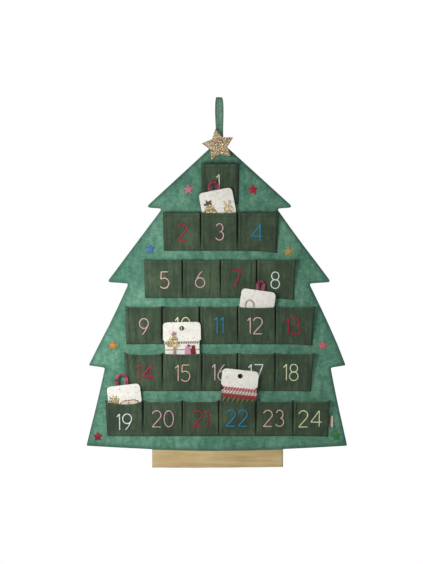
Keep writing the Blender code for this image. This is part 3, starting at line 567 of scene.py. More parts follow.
def glitter(name, dark, middle, light, scale=700.0):
    """Coarse glitter: flakes of unlike tone, partly their own and partly painted glints, that catch the light
    one by one.
    """
    paint = Paint(name, 0.32, 0.55)
    flakes = paint.cells(scale, output="Color")
    tone = paint.math("MULTIPLY", paint.noise(260.0, 2.0, 0.6), 0.35)
    split = paint.node("ShaderNodeSeparateColor", Color=flakes)
    tone = paint.math("MULTIPLY_ADD", split.outputs[0], 0.65, tone)
    # Each flake's colour runs from dark to light: partly its own tone, partly painted glints.
    colour = paint.ramp(tone, (0.2, dark), (0.5, middle), (0.8, light))
    rough = paint.math("MULTIPLY_ADD", split.outputs[1], 0.35, 0.2)
    return paint.done(colour, split.outputs[2], 0.0005, 0.9, rough)


def thread(name, colour):
    """Embroidery thread: a soft gloss, fine strands and a little tone."""
    paint = Paint(name, 0.5, Sheen_Weight=0.05, Specular_IOR_Level=0.4)
    strands = paint.noise(1500.0, 2.0, 0.6, paint.stretched((1.0, 1.0, 0.35), (0.0, 0.7, 0.0)))
    dark = tuple(c * 0.6 for c in colour[:3]) + (1.0,)
    light = tuple(min(1.0, c * 1.2) for c in colour[:3]) + (1.0,)
    return paint.done(paint.ramp(strands, (0.34, dark), (0.5, colour), (0.68, light)), strands, 0.0002, 0.6)


def satin(name, dark, light):
    """Satin elastic: lengthwise gloss, and painted sheen in its colour that shifts with the fold."""
    paint = Paint(name, 0.34, Anisotropic=0.4, Sheen_Weight=0.1)
    strands = paint.noise(700.0, 2.0, 0.5, paint.stretched((1.0, 1.0, 0.15)))
    fold_sheen = paint.noise(120.0, 3.0, 0.5)
    tone = paint.math("MULTIPLY_ADD", strands, 0.4, paint.math("MULTIPLY", fold_sheen, 0.6))
    # The ramp from dark to light is painted sheen and shade along the folds and strands.
    return paint.done(paint.ramp(tone, (0.38, dark), (0.62, light)), strands, 0.0002, 0.5)


def paper(name):
    """Card: off-white stock with brown and grey flecks."""
    paint = Paint(name, 0.62)
    fleck_place = paint.cells(300.0)
    fleck_tone = paint.node("ShaderNodeSeparateColor", Color=paint.cells(300.0, output="Color"))
    near = paint.math("LESS_THAN", fleck_place, paint.math("MULTIPLY", fleck_tone.outputs[0], 0.38))
    cloud = paint.noise(60.0, 3.0, 0.5)
    stock = paint.ramp(cloud, (0.35, rgb(242, 239, 229)), (0.65, rgb(252, 250, 241)))
    brown, tan, grey = rgb(150, 96, 78), rgb(170, 150, 132), rgb(96, 84, 84)
    flecks = paint.ramp(fleck_tone.outputs[1], (0.0, brown), (0.6, tan), (1.0, grey))
    grain = paint.noise(1200.0, 2.0, 0.6)
    return paint.done(paint.mixed(paint.math("MULTIPLY", near, 0.5), stock, flecks), grain, 0.00008, 0.4)


def cord(name, first, second, bias=0.0):
    """A twisted cord in two colours: the points carry the turn that each lobe belongs to."""
    paint = Paint(name, 0.6, Sheen_Weight=0.15)
    turn = paint.math("SINE", paint.mark())
    share = paint.math("MULTIPLY_ADD", turn, 4.0, 0.5 + 4.0 * bias)
    made = paint.node("ShaderNodeClamp", Value=share)
    strands = paint.noise(1300.0, 2.0, 0.6)
    colour = paint.mixed(made.outputs[0], first, second)
    tone = paint.ramp(strands, (0.3, rgb(190, 190, 190)), (0.7, rgb(255, 255, 255)))
    return paint.done(paint.mixed(1.0, colour, tone, "MULTIPLY"), strands, 0.0002, 0.6)


def metal(name, dark, light, roughness=0.3):
    """Gold-coloured wire or plate with faint rubbing."""
    paint = Paint(name, roughness, 0.9)
    rubbed = paint.noise(300.0, 4.0, 0.6)
    rough = paint.math("MULTIPLY_ADD", rubbed, 0.25, roughness - 0.1)
    return paint.done(paint.ramp(rubbed, (0.35, dark), (0.65, light)), rubbed, 0.0001, 0.4, rough)


def tape(name):
    """Cream tape: a fine weave, darker where it is sewn in."""
    paint = Paint(name, 0.8)
    weave = paint.waves(700.0, "Z", 0.5)
    pale = paint.ramp(weave, (0.2, rgb(214, 200, 172)), (0.8, rgb(236, 226, 204)))
    return paint.done(paint.mixed(paint.mark(), pale, rgb(134, 112, 88)), weave, 0.0001, 0.5)


class Shape:
    """The points, faces and point marks of one piece."""

    def __init__(self):
        self.points = []
        self.faces = []
        self.marks = []

    def add(self, points, faces, marks=None):
        base = len(self.points)
        self.points += [tuple(point) for point in points]
        self.faces += [tuple(base + i for i in face) for face in faces]
        self.marks += list(marks) if marks is not None else [0.0] * len(points)


def quads(rows, columns, closed_rows=False, closed_columns=False):
    """The faces of a grid of points, row after row."""
    found = []
    for r in range(rows if closed_rows else rows - 1):
        for c in range(columns if closed_columns else columns - 1):
            right, up = (c + 1) % columns, (r + 1) % rows
            found.append((r * columns + c, r * columns + right, up * columns + right, up * columns + c))
    return found


def make(name, shape, material, replaced=(), body=BODY, slot=None, smooth=True):
    """Builds a piece, hands it its material and its body, and hides the solids it stands for."""
    mesh = bpy.data.meshes.new(name)
    mesh.from_pydata(shape.points, [], shape.faces)
    mark = mesh.attributes.new("mark", "FLOAT", "POINT")
    mark.data.foreach_set("value", shape.marks)
    built = bmesh.new()
    built.from_mesh(mesh)
    bmesh.ops.recalc_face_normals(built, faces=built.faces)
    built.to_mesh(mesh)
    built.free()
    if smooth:
        mesh.shade_smooth()
    mesh.materials.append(material)
    piece = bpy.data.objects.new(name, mesh)
    bpy.context.scene.collection.objects.link(piece)
    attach(piece, body)
    if replaced:
        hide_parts(*replaced)
    slot or slots[replaced[0]]
    return piece


def thickened(piece, thickness):
    cloth = piece.modifiers.new("cloth", "SOLIDIFY")
    cloth.thickness = thickness
    cloth.offset = -1.0
    return piece


def outline_of(node):
    """The outline of a flat solid's front face, as (x, z) points."""
    mesh = bpy.data.objects[node].data
    points = [vertex.co for vertex in mesh.vertices]
    front = min(point.y for point in points)
    follow = {}
    for face in mesh.polygons:
        corners = [points[i] for i in face.vertices]
        if max(corner.y for corner in corners) > front + FLAT_WITHIN:
            continue
        keys = [(round(corner.x, 6), round(corner.z, 6)) for corner in corners]
        for here, there in zip(keys, keys[1:] + keys[:1]):
            if follow.pop((there, here), None) is None:
                follow[here, there] = True
    follow = dict(follow.keys())
    loops = []
    while follow:
        loop = [next(iter(follow))]
        while loop[-1] in follow:
            loop.append(follow.pop(loop[-1]))
        loops.append(loop[:-1])
    return max(loops, key=len)


def resampled(points, step, closed=True, smoothing=2):
    """The same line with even steps, its corners eased."""
    ends = list(points) + list(points[:1]) if closed else list(points)
    found = []
    for here, there in zip(ends, ends[1:]):
        count = max(1, round(math.dist(here, there) / step))
        for k in range(count):
            t = k / count
            found.append((here[0] + (there[0] - here[0]) * t, here[1] + (there[1] - here[1]) * t))
    if not closed:
        found.append(ends[-1])
    line = np.array(found)
    for _ in range(smoothing):
        eased = (np.roll(line, 1, axis=0) + 2 * line + np.roll(line, -1, axis=0)) / 4
        if not closed:
            eased[0], eased[-1] = line[0], line[-1]
        line = eased
    return line


def crossing_of(first, second, third, fourth):
    """Where the line through the first two points meets the line through the last two."""
    along, other, gap = second - first, fourth - third, third - first
    t = (gap[0] * other[1] - gap[1] * other[0]) / (along[0] * other[1] - along[1] * other[0])
    return first + along * t


def sharp_tipped(points):
    """The tree's outline with each rounded outer corner drawn to a point that reaches just as far out."""
    points = [np.array(point) for point in points]
    count = len(points)
    long = [np.linalg.norm(points[(i + 1) % count] - points[i]) > LONG_SIDE for i in range(count)]
    first = next(i for i in range(count) if long[i])
    order = [(first + 1 + k) % count for k in range(count)]
    found = []
    run = []
    for i in order:
        run.append(i)
        if not long[i]:
            continue
        corners = [points[j] for j in run]
        before, after = points[run[0] - 1], points[(i + 1) % count]
        reach = max(abs(corner[0]) for corner in corners)
        if len(run) > 2 and reach > TIP_FROM and reach > max(abs(before[0]), abs(after[0])):
            corner = crossing_of(before, corners[0], corners[-1], after)
            low = after if abs(after[1] - corner[1]) < abs(before[1] - corner[1]) else before
            inward = (low - corner) / np.linalg.norm(low - corner)
            cut = TIP_CUT + BLUNTER_RISE * max(0.0, corner[1] - BLUNTER_FROM_Z)
            ease = TIP_EASE + TIP_EASE_SHARE * cut
            corner = corner + inward * max(0.0, (abs(corner[0]) - reach - cut) / abs(inward[0]))
            back = (before - corner) / np.linalg.norm(before - corner)
            on = (after - corner) / np.linalg.norm(after - corner)
            corners = [corner + back * ease, corner + (back + on) * ease / 4, corner + on * ease]
        found += corners
        run = []
    return [tuple(point) for point in found]


def counter_clockwise(line):
    x, z = line[:, 0], line[:, 1]
    area = np.sum(x * np.roll(z, -1) - np.roll(x, -1) * z) / 2
    return (line, area) if area > 0 else (line[::-1].copy(), -area)


def depths_inside(points, line):
    """How deep each point lies inside a closed line, and below zero outside."""
    found = np.empty(len(points))
    ends = np.roll(line, -1, axis=0)
    along = ends - line
    length = np.maximum(np.sum(along * along, axis=1), 1e-16)
    for start in range(0, len(points), 1500):
        part = points[start : start + 1500]
        away = part[:, None, :] - line[None, :, :]
        t = np.clip(np.sum(away * along, axis=2) / length, 0.0, 1.0)
        gap = away - t[:, :, None] * along
        depth = np.sqrt(np.min(np.sum(gap * gap, axis=2), axis=1))
        above = line[None, :, 1] > part[:, None, 1]
        next_above = ends[None, :, 1] > part[:, None, 1]
        rise = np.where(along[:, 1] == 0, 1e-12, along[:, 1])
        crossing = line[None, :, 0] + (part[:, None, 1] - line[None, :, 1]) / rise * along[None, :, 0]
        odd = np.sum((above != next_above) & (part[:, None, 0] < crossing), axis=1) % 2 == 1
        found[start : start + 1500] = np.where(odd, depth, -depth)
    return found


def filled(line, depths, cell, seed=1, jitter=0.16):
    """Fills a closed line with triangles: rings near its edge, then an even, slightly uneven grid.

    Returns the points, the triangles, each point's depth inside the line and how many lie on the line.
    """
    line, _ = counter_clockwise(np.asarray(line))
    along = np.roll(line, -1, axis=0) - np.roll(line, 1, axis=0)
    inward = np.stack([-along[:, 1], along[:, 0]], axis=1)
    inward /= np.maximum(np.linalg.norm(inward, axis=1), 1e-9)[:, None]
    kept = [line]
    for depth in depths:
        ring = line + inward * depth
        kept.append(ring[depths_inside(ring, line) > 0.86 * depth])
    rng = np.random.default_rng(seed)
    low, high = line.min(axis=0), line.max(axis=0)
    rows = np.arange(low[1], high[1], cell * 0.866)
    grid = []
    for i, z in enumerate(rows):
        x = np.arange(low[0] + (i % 2) * cell / 2, high[0], cell)
        grid.append(np.stack([x, np.full(len(x), z)], axis=1))
    grid = np.concatenate(grid)
    grid += rng.uniform(-jitter * cell, jitter * cell, grid.shape)
    margin = (depths[-1] if depths else 0.0) + 0.45 * cell
    grid = grid[depths_inside(grid, line) > margin]
    points = np.concatenate([*kept, grid])
    count = len(line)
    edges = [(i, (i + 1) % count) for i in range(count)]
    made = delaunay_2d_cdt([Vector(point) for point in points], edges, [], 1, 1e-7)
    places = np.array([(point.x, point.y) for point in made[0]])
    triangles = [tuple(face) for face in made[2]]
    depth = np.maximum(depths_inside(places, line), 0.0)
    on_line = {}
    for i, origin in enumerate(made[3]):
        if origin and origin[0] < count:
            on_line[origin[0]] = i
            depth[i] = 0.0
    order = [on_line[i] for i in range(count)]
    return places, triangles, depth, order


def slab(line, depths, cell, place, front, back, seed=1, jitter=0.16):
    """A closed body between two surfaces over one outline.

    front and back give how far out each lies for (x, z, depth); place turns (x, z, out) into a point.
    """
    places, triangles, depth, order = filled(line, depths, cell, seed, jitter)
    shape = Shape()
    count = len(places)
    for surface in (front, back):
        shape.add([place(x, z, surface(x, z, d)) for (x, z), d in zip(places, depth)], [])
    shape.faces += triangles
    shape.faces += [(count + c, count + b, count + a) for a, b, c in triangles]
    for here, there in zip(order, order[1:] + order[:1]):
        shape.faces.append((here + count, there + count, there, here))
    return shape


def rod_faces(count, sides):
    """The faces of a rod made of rings, with both its ends closed."""
    ends = [tuple(range(sides)), tuple(range((count - 1) * sides, count * sides))[::-1]]
    return quads(count, sides, False, True) + ends


def tube(shape, line, closed, half_width, half_height, place, sides=8, rib=0.0, lift=0.0):
    """Adds a tube of oval section along a flat line, its ends drawn in."""
    line = np.asarray(line)
    count = len(line)
    points = []
    for i, ((x, z), (ax, az)) in enumerate(zip(line, directions(line, closed))):
        size = 1.0 - (rib if i % 2 else 0.0)
        if not closed:
            end = min(i, count - 1 - i)
            size *= (0.35, 0.75, 0.94)[end] if end < 3 else 1.0
        for k in range(sides):
            angle = 2 * math.pi * k / sides
            across = half_width * size * math.cos(angle)
            out = lift + half_height * (1.0 + size * math.sin(angle))
            points.append(place(x - az * across, z + ax * across, out))
    shape.add(points, quads(count, sides, True, True) if closed else rod_faces(count, sides))


def capsule(shape, centre, along, length, radius, sides=6):
    """Adds one small stitch: a short round-ended rod."""
    along = Vector(along).normalized()
    side = along.cross(Vector((0.0, 1.0, 0.0))).normalized()
    up = side.cross(along)
    points = []
    rings = ((-0.5, 0.35), (-0.4, 0.8), (-0.2, 1.0), (0.2, 1.0), (0.4, 0.8), (0.5, 0.35))
    for t, size in rings:
        for k in range(sides):
            angle = 2 * math.pi * k / sides
            ring = side * math.cos(angle) + up * math.sin(angle)
            points.append(Vector(centre) + along * length * t + ring * radius * size)
    shape.add(points, rod_faces(len(rings), sides))


def on_panel(x, z, out):
    return (x, -out, z)


# The panel


def held_share(x, z, apex, trunk_low, trunk_high):
    """How freely the velvet's edge rolls back: not where the strap and the trunk come out."""
    strap = smooth_step(*STRAP_HOLD, abs(x)) if z > apex - STRAP_HOLD_BELOW_APEX else 1.0
    inside = min(x - trunk_low.x, trunk_high.x - x)
    trunk = 1.0 - smooth_step(*TRUNK_HOLD, inside) if z < trunk_high.z + TRUNK_HOLD_ABOVE else 1.0
    return LEAST_ROLL_SHARE + (1.0 - LEAST_ROLL_SHARE) * min(strap, trunk)


def make_velvet_front(material):
    """The velvet, rolled over the tree's edge and turned in. Returns the tree's outline and its area."""
    line = resampled(sharp_tipped(outline_of("front_panel")), OUTLINE_STEP, smoothing=1)
    line, area = counter_clockwise(line)
    places, triangles, depth, order = filled(line, EDGE_DEPTHS, PANEL_CELL, 3)
    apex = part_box("front_panel")[1].z
    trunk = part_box("trunk_cover")
    held = [held_share(x, z, apex, *trunk) if d < HOLD_DEPTH else 1.0 for (x, z), d in zip(places, depth)]
    points = []
    for (x, z), d, share in zip(places, depth, held):
        soft = max(0.0, uneven(x * 17, 4.0, z * 17)) + 0.4 * max(0.0, uneven(x * 50, 1.0, z * 50))
        wrinkle = PANEL_WRINKLE * soft * smooth_step(0.0, WRINKLED_FROM, d)
        points.append((x, face_y + share * ROLL_DEPTH * fall_off(d, ROLL_WIDTH) + wrinkle, z))
    shape = Shape()
    # The mark is painted shade, darkest on the rolled edge and the turned rim.
    shape.add(points, triangles, [1.0 - smooth_step(0.0, EDGE_SHADE_WIDTH, d) for d in depth])
    turned = {i: i for i in order}
    for face in triangles:
        if not all(depth[i] <= RIM_WIDTH and held[i] > TURNED_FROM_SHARE for i in face):
            continue
        for i in face:
            if i in turned:
                continue
            start = points[i][1] if depth[i] == 0 else face_y + ROLL_DEPTH
            turned[i] = len(shape.points)
            y = start + (RIM_BACK - start) * (1 - fall_off(depth[i], RIM_ROUND))
            shape.add([(places[i][0], y, places[i][1])], [], [1.0])
        shape.faces.append(tuple(turned[i] for i in reversed(face)))
    piece = thickened(make("velvet_front", shape, material, ["front_panel"]), VELVET_THICKNESS)
    return line, area


def make_wadding(material):
    line = resampled(sharp_tipped(outline_of("wadding")), OUTLINE_STEP, smoothing=1)

    def front(x, z, d):
        rolled = ROLL_DEPTH * fall_off(d + WADDING_INSET, ROLL_WIDTH)
        return -(face_y + rolled + VELVET_THICKNESS + WADDING_GAP)

    def back(x, z, d):
        return -(0.0004 + 0.0013 * smooth_step(0.002, 0.006, d))

    shape = slab(line, WADDING_DEPTHS, PLAIN_CELL, on_panel, front, back)
    piece = make("soft_wadding", shape, material, ["wadding"])


def make_back(material, line, area):
    low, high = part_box("back_panel")

    def front(x, z, d):
        return -(low.y + 0.0001)

    def back(x, z, d):
        seam = 0.0003 * bell((d - BACK_SEAM_DEPTH) / BACK_SEAM_WIDTH)
        soft = 0.00025 * max(0.0, uneven(x * 14, 9.0, z * 14))
        return -(high.y - BACK_DROP * fall_off(d, BACK_ROUND) - seam - soft)

    shape = slab(line, BACK_DEPTHS, PLAIN_CELL, on_panel, front, back)
    piece = make("cloth_back", shape, material, ["back_panel"])


# The pockets


class Pocket:
    """One pocket: its place from the frame, and where its front wall stands."""

    def __init__(self, number, low_x, high_x, seam_z, mouth_z, depth, sag, has_card):
        self.number = number
        self.low_x = low_x
        self.high_x = high_x
        self.seam_z = seam_z
        self.mouth_z = mouth_z
        self.depth = depth
        self.sag = sag
        self.has_card = has_card
        self.middle = (low_x + high_x) / 2
        self.fold = 0.35 + 0.65 * abs(math.sin(number * 1.9))

    def across(self, x):
        """How far right of the middle, in half widths."""
        return (x - self.middle) / ((self.high_x - self.low_x) / 2)

    def up(self, x, z):
        """How far up from the seam to the mouth, as a share."""
        return min(1.0, max(0.0, (z - self.seam_z) / (self.top(x) - self.seam_z)))

    def top(self, x):
        u = self.across(x)
        wave = 0.0005 * uneven(x * 38, self.number * 2.3, 0.0)
        return self.mouth_z - (self.sag + 0.0004) * max(0.0, 1 - u * u) + wave * (1 - abs(u))

    def wrinkles(self, x, z, t):
        across = math.sqrt(max(0.0, 1 - self.across(x) ** 2))
        slow = uneven(x * 16 + z * 7, self.number * 3.7, z * 11)
        quick = uneven(x * 52 - z * 26, self.number * 5.1, z * 20)
        found = (0.0021 * slow + 0.0009 * quick) * t**0.6 * (0.35 + 0.65 * across)
        billow = 0.0007 * across * math.sin(math.pi * min(1.0, t))
        return max(0.0, found) + billow if self.has_card else found + billow

    def standoff(self, x, z):
        """How far the wall's outer face stands off the panel."""
        t = self.up(x, z)
        rise = (1 - BULGE_SHARE) * t + BULGE_SHARE * math.sin(math.pi / 2 * t)
        stand = LOW_STANDOFF + (self.depth - LOW_STANDOFF) * rise + self.wrinkles(x, z, t)
        below = self.top(x) - z
        hem = HEM_RIDGE * (1.0 - smooth_step(HEM_HEIGHT - 0.0008, HEM_HEIGHT, below))
        groove = HEM_GROOVE * bell((below - HEM_HEIGHT + HEM_STITCH_RISE) / GROOVE_WIDTH)
        beside = self.beside_fold(x, z)
        pressed = FOLD_DEPTH * self.fold * (bell(beside) - 0.5 * bell(beside + 2.0))
        return stand + hem - groove - pressed * min(1.0, 4 * t) - CREASE_DEPTH * self.creased(x, t)

    def beside_fold(self, x, z):
        """How far right of the pressed fold, in its widths."""
        sway = FOLD_SWAY * uneven(z * 30, self.number * 1.7, 4.0)
        return (x - self.low_x - FOLD_INSET + sway) / FOLD_WIDTH

    def fold_mark(self, x, z):
        """How much painted shade darkens the pressed fold and the creases here."""
        creased = max(0.0, self.creased(x, self.up(x, z)))
        return 0.55 * self.fold * bell(self.beside_fold(x, z)) + 0.5 * creased

    def creased(self, x, t):
        """How far into a crease this place is."""
        half = (self.high_x - self.low_x) / 2
        tall = self.mouth_z - self.seam_z
        found = 0.0
        for u_from, t_from, u_to, t_to in CREASES.get(self.number, ()):
            ax, az = (u_to - u_from) * half, (t_to - t_from) * tall
            px, pz = x - self.middle - u_from * half, (t - t_from) * tall
            along = (px * ax + pz * az) / (ax * ax + az * az)
            away = math.hypot(px - ax * along, pz - az * along) / CREASE_WIDTH
            fade = smooth_step(-0.1, 0.1, along) * smooth_step(1.15, 0.7, along)
            found += fade * (bell(away) - 0.35 * bell(away - 2.0))
        return found


def read_pockets():
    """The rows of pockets from the record's openings and the strips' solids."""
    boxes = {}
    for opening in record["physics"]["openings"]:
        if opening["name"].startswith("pocket_"):
            boxes[int(opening["name"][-2:])] = opening["box_m"]
    carded = {int(joint["name"].split("_")[1]) for joint in frame["joints"]}
    rows = []
    for i in range(6):
        low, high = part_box(f"pocket_strip_{i + 1}")
        points = [vertex.co for vertex in bpy.data.objects[f"pocket_strip_{i + 1}"].data.vertices]
        row = []
        for number, (box_low, box_high) in sorted(boxes.items()):
            if not low.z < (box_low[2] + box_high[2]) / 2 < high.z:
                continue
            middle = (box_low[0] + box_high[0]) / 2
            outer = [p.z for p in points if abs(p.x - middle) < 0.001 and p.y < face_y - OUTER_WALL]
            mouth = high.z - STRIP_RISE
            sag = mouth - min(outer) if outer else 0.0005
            row.append(
                Pocket(
                    number, box_low[0] - POCKET_SIDE, box_high[0] + POCKET_SIDE, low.z + STRIP_SEAM, mouth,
                    face_y - low.y, sag, number in carded,
                )
            )
        rows.append(row)
    return rows


def strip_columns(number, row):
    """Across a row: each column's x, its share of the wall's standoff and its pocket."""
    found = []
    for pocket in row:
        spread = ROW_ENDS[number - 1][0] if pocket is row[-1] else 0.0
        drawn = WIDE_PLEATS.get(pocket.number, 0.0)
        rising = [(pocket.low_x + x, share, pocket) for x, share in PLEAT_PATH]
        falling = []
        for x, share in reversed(PLEAT_PATH):
            falling.append((pocket.high_x - x + spread * (1 - share) - drawn * share, share, pocket))
        start, end = rising[-1][0], falling[0][0]
        count = round((end - start) / WALL_COLUMN)
        wall = [(start + (end - start) * k / count, 1.0, pocket) for k in range(1, count)]
        found += rising + wall + falling
    return found


def drawn_end(number, row, pocket, x, z):
    """Where a point of a strip comes to lie: both ends of a row are drawn in towards the seam."""
    low_share = min(1.0, max(0.0, (pocket.mouth_z - z) / (pocket.mouth_z - pocket.seam_z)))
    u = (x - pocket.low_x) / (pocket.high_x - pocket.low_x)
    across = 0.0
    drop = 0.0
    if pocket is row[0]:
        spread, taper = ROW_STARTS[number - 1]
        across = (taper * low_share - spread) * max(0.0, 1 - u) ** END_SHAPE
    if pocket is row[-1]:
        _, taper, dip = ROW_ENDS[number - 1]
        pull = max(0.0, u) ** END_SHAPE
        across -= taper * pull * low_share**0.8
        drop = dip * pull * low_share
    return x + across, z - drop


def make_strip(number, row, material):
    """One row's twill, pleated between its pockets, hemmed at the mouths and sewn along the bottom."""
    columns = strip_columns(number, row)
    shape = Shape()
    seam_rings = ((-STRIP_SEAM, 0.0004), (-STRIP_SEAM * 0.8, 0.0), (-STRIP_SEAM * 0.4, -0.0003))
    rings = [("flat", rise, sink) for rise, sink in seam_rings]
    rings += [("wall", share, 0.0) for share in reversed(WALL_RING_SHARES)]
    rings += [("mouth", below, 0.0) for below in reversed(MOUTH_RINGS)]
    points = []
    marks = []
    for kind, value, sink in rings:
        for x, share, pocket in columns:
            top = pocket.top(x)
            if share < 1.0:
                top = pocket.mouth_z + PLEAT_RISE * (1 - share) ** 1.5
            if kind == "flat":
                z = pocket.seam_z + value
            elif kind == "wall":
                z = pocket.seam_z + (top - MOUTH_RINGS[-1] - pocket.seam_z) * value
            else:
                z = top - value
            edge_x = min(max(x, pocket.low_x + PLEAT_PATH[-1][0]), pocket.high_x - PLEAT_PATH[-1][0])
            full = pocket.standoff(edge_x, min(z, pocket.top(edge_x)))
            stand = SEAM_STANDOFF + (full - SEAM_STANDOFF) * share - sink
            wobble = 0.0005 * uneven(number * 9.0, z * 30, pocket.number + x * 20)
            place_x, place_z = drawn_end(number, row, pocket, x, z)
            points.append((place_x + wobble * share * (1 if share < 1 else 0.3), face_y - stand, place_z))
            below = pocket.top(edge_x) - z
            seam = bell((below - HEM_HEIGHT) / 0.0007) if share == 1.0 else 0.0
            low_seam = bell((z - pocket.seam_z + SEAM_STITCH_DROP) / 0.0009)
            # Painted shade: the pleats darker, the row's right-hand pleat darker still, and the pressed folds
            # and creases.
            side = 0.6 * (1.0 - share)
            if pocket is row[-1] and x > pocket.middle:
                side *= 2.0
            pressed = pocket.fold_mark(x, z) if share == 1.0 and kind != "flat" else 0.0
            marks.append(min(1.2, 0.5 * seam + 0.7 * low_seam + side + pressed))
    shape.add(points, quads(len(rings), len(columns)), marks)
    piece = thickened(make(f"twill_row_{number}", shape, material, [f"pocket_strip_{number}"]), STRIP_CLOTH)
    path = sum(p.high_x - p.low_x + 1.5 * (p.depth - SEAM_STANDOFF) for p in row)


def make_stitches(number, row, material):
    """The rows of stitches along a strip's mouths and its bottom seam."""
    shape = Shape()
    for pocket in row:
        sewn = pocket.high_x - pocket.low_x - 2 * STITCH_MARGIN
        count = int(sewn / STITCH_STEP)
        for k in range(count):
            x = pocket.low_x + STITCH_MARGIN + (k + 0.5) * sewn / count
            after = x + STITCH_LOOK
            for at_mouth in (True, False):
                z = pocket.seam_z - SEAM_STITCH_DROP
                rise, out, stand = 0.0, 0.0, SEAM_STANDOFF + 0.00025
                if at_mouth:
                    z = pocket.top(x) - HEM_HEIGHT + HEM_STITCH_RISE
                    rise = pocket.top(after) - pocket.top(x)
                    out = pocket.standoff(after, z + rise) - pocket.standoff(x, z)
                    stand = pocket.standoff(x, z) + 0.00002
                place_x, place_z = drawn_end(number, row, pocket, x, z)
                here = Vector((place_x, face_y - stand, place_z))
                capsule(shape, here, (STITCH_LOOK, -out, rise), STITCH_LENGTH, STITCH_RADIUS)
    make(f"pocket_stitches_{number}", shape, material, slot="twill")


def digit_lines(digit):
    """A digit's strokes in numeral heights: lines of points, and whether each closes on itself."""
    width = DIGIT_WIDTH_SHARES[digit]
    found = []
    for form, *parts in DIGIT_STROKE_SHARES[digit]:
        points = []
        for part in parts:
            if len(part) == 2:
                points.append(part)
                continue
            turned = arc(*part, max(6, round(abs(part[3] - part[2]) / ARC_STEP_DEGREES)))
            points += turned[:-1] if form == "loop" else turned
        found.append(([(x * width, z) for x, z in points], form == "loop"))
    return found


def make_numeral(pocket, material, stitch_width):
    """A numeral in satin stitch, laid on its pocket's wall where its solid is."""
    tall = NUMERAL_HEIGHT - NUMERAL_STROKE
    text = str(pocket.number)
    width = sum(DIGIT_WIDTH_SHARES[d] for d in text) + DIGIT_SPACE_SHARE * (len(text) - 1)
    low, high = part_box(f"numeral_{pocket.number:02d}")
    middle_x = (low.x + high.x) / 2 + NUMERAL_NUDGES.get(pocket.number, 0.0)
    middle_z = (low.z + high.z) / 2

    def place(x, z, out):
        return (x, face_y - pocket.standoff(x, z) - out, z)

    shape = Shape()
    start = -width / 2
    layer = 0
    for digit in text:
        for points, closed in digit_lines(digit):
            real = [(middle_x + (start + x) * tall, middle_z + (z - 0.5) * tall) for x, z in points]
            line = resampled(real, NUMERAL_RING, closed, 3)
            half = stitch_width / 2 * (1 - 0.03 * layer)
            lift = NUMERAL_LIFT - 0.0002 + 0.00006 * layer
            tube(shape, line, closed, half, NUMERAL_THICKNESS / 2, place, 8, 0.09, lift=lift)
            layer += 1
        start += DIGIT_WIDTH_SHARES[digit] + DIGIT_SPACE_SHARE
    make(f"stitched_{pocket.number:02d}", shape, material, [f"numeral_{pocket.number:02d}"])


# Stars, strap, trunk and label


def star_line(centre, radius, inner_share, turn, step):
    return resampled(star_points(centre, (radius, radius), inner_share, turn), step, smoothing=1)


def make_small_stars(rows):
    """Eight little stars in padded satin stitch beside the rows."""
    for i, (row, side, out, below, colour, slot) in enumerate(SMALL_STARS):
        pockets = rows[row - 1]
        end = pockets[0].low_x if side < 0 else pockets[-1].high_x
        centre = (end + side * out, pockets[0].mouth_z - below)
        turn = 0.12 * uneven(i * 2.7, 0.3, 0.8)
        line = star_line(centre, SMALL_STAR_RADIUS, SMALL_STAR_INNER_SHARE, turn, 0.0007)

        def front(x, z, d):
            angle = math.atan2(z - centre[1], x - centre[0])
            ribs = 0.00012 * math.sin(angle * 34)
            return -face_y - 0.0003 + 0.0021 * min(1.0, d / 0.0026) ** 0.6 + ribs * min(1.0, d / 0.0008)

        def back(x, z, d):
            return -face_y - 0.0005

        shape = slab(line, (0.0005, 0.0012), 0.0009, on_panel, front, back, 5 + i)
        make(f"small_star_{i + 1}", shape, thread(f"star_thread_{i + 1}", rgb(*colour)), slot=slot)


def make_glitter_star(cloth, felt):
    """The padded star at the apex and the felt behind it."""
    corners = np.array(outline_of("star_backing"))
    centre = corners.mean(axis=0)
    reach = np.linalg.norm(corners - centre, axis=1)
    order = np.argsort(-reach)
    tips = corners[order[:5]]
    low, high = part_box("star_topper")
    outer = reach[order[:5]].mean() * (high.x - low.x) / (corners[:, 0].max() - corners[:, 0].min())
    outer *= STAR_SPREAD
    inner_share = reach[order[5:10]].mean() / reach[order[:5]].mean()
    top = tips[np.argmax(tips[:, 1])]
    turn = math.atan2(top[1] - centre[1], top[0] - centre[0]) - math.pi / 2
    rng = random.Random(7)

    def front(x, z, d):
        round_off = STAR_EDGE * fall_off(d, STAR_EDGE)
        flake = rng.uniform(-1.0, 1.0) * GLITTER_HEIGHT * min(1.0, d / 0.0005)
        return -low.y - 0.0004 - round_off + 0.0008 * min(1.0, d / 0.007) + flake

    def back(x, z, d):
        return -high.y + 0.0001

    line = star_line(centre, outer, inner_share, turn, 0.0012)
    shape = slab(line, (0.0005, 0.0012), GLITTER_CELL, on_panel, front, back, 11, 0.3)
    make("glitter_star", shape, cloth, ["star_topper"], smooth=False)

    felt_low, felt_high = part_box("star_backing")

    def felt_front(x, z, d):
        return -felt_low.y - (0.0003 if d == 0 else 0.0)

    def felt_back(x, z, d):
        return -felt_high.y

    line = star_line(centre, outer * 0.93, inner_share * 0.9 / 0.93, turn, 0.0015)
    shape = slab(line, (0.0004,), 0.003, on_panel, felt_front, felt_back)
    piece = make("felt_star", shape, felt, ["star_backing"])
    _, area = counter_clockwise(line)
    size = 2 * outer
    area = max(area, 0.31 * size * size)


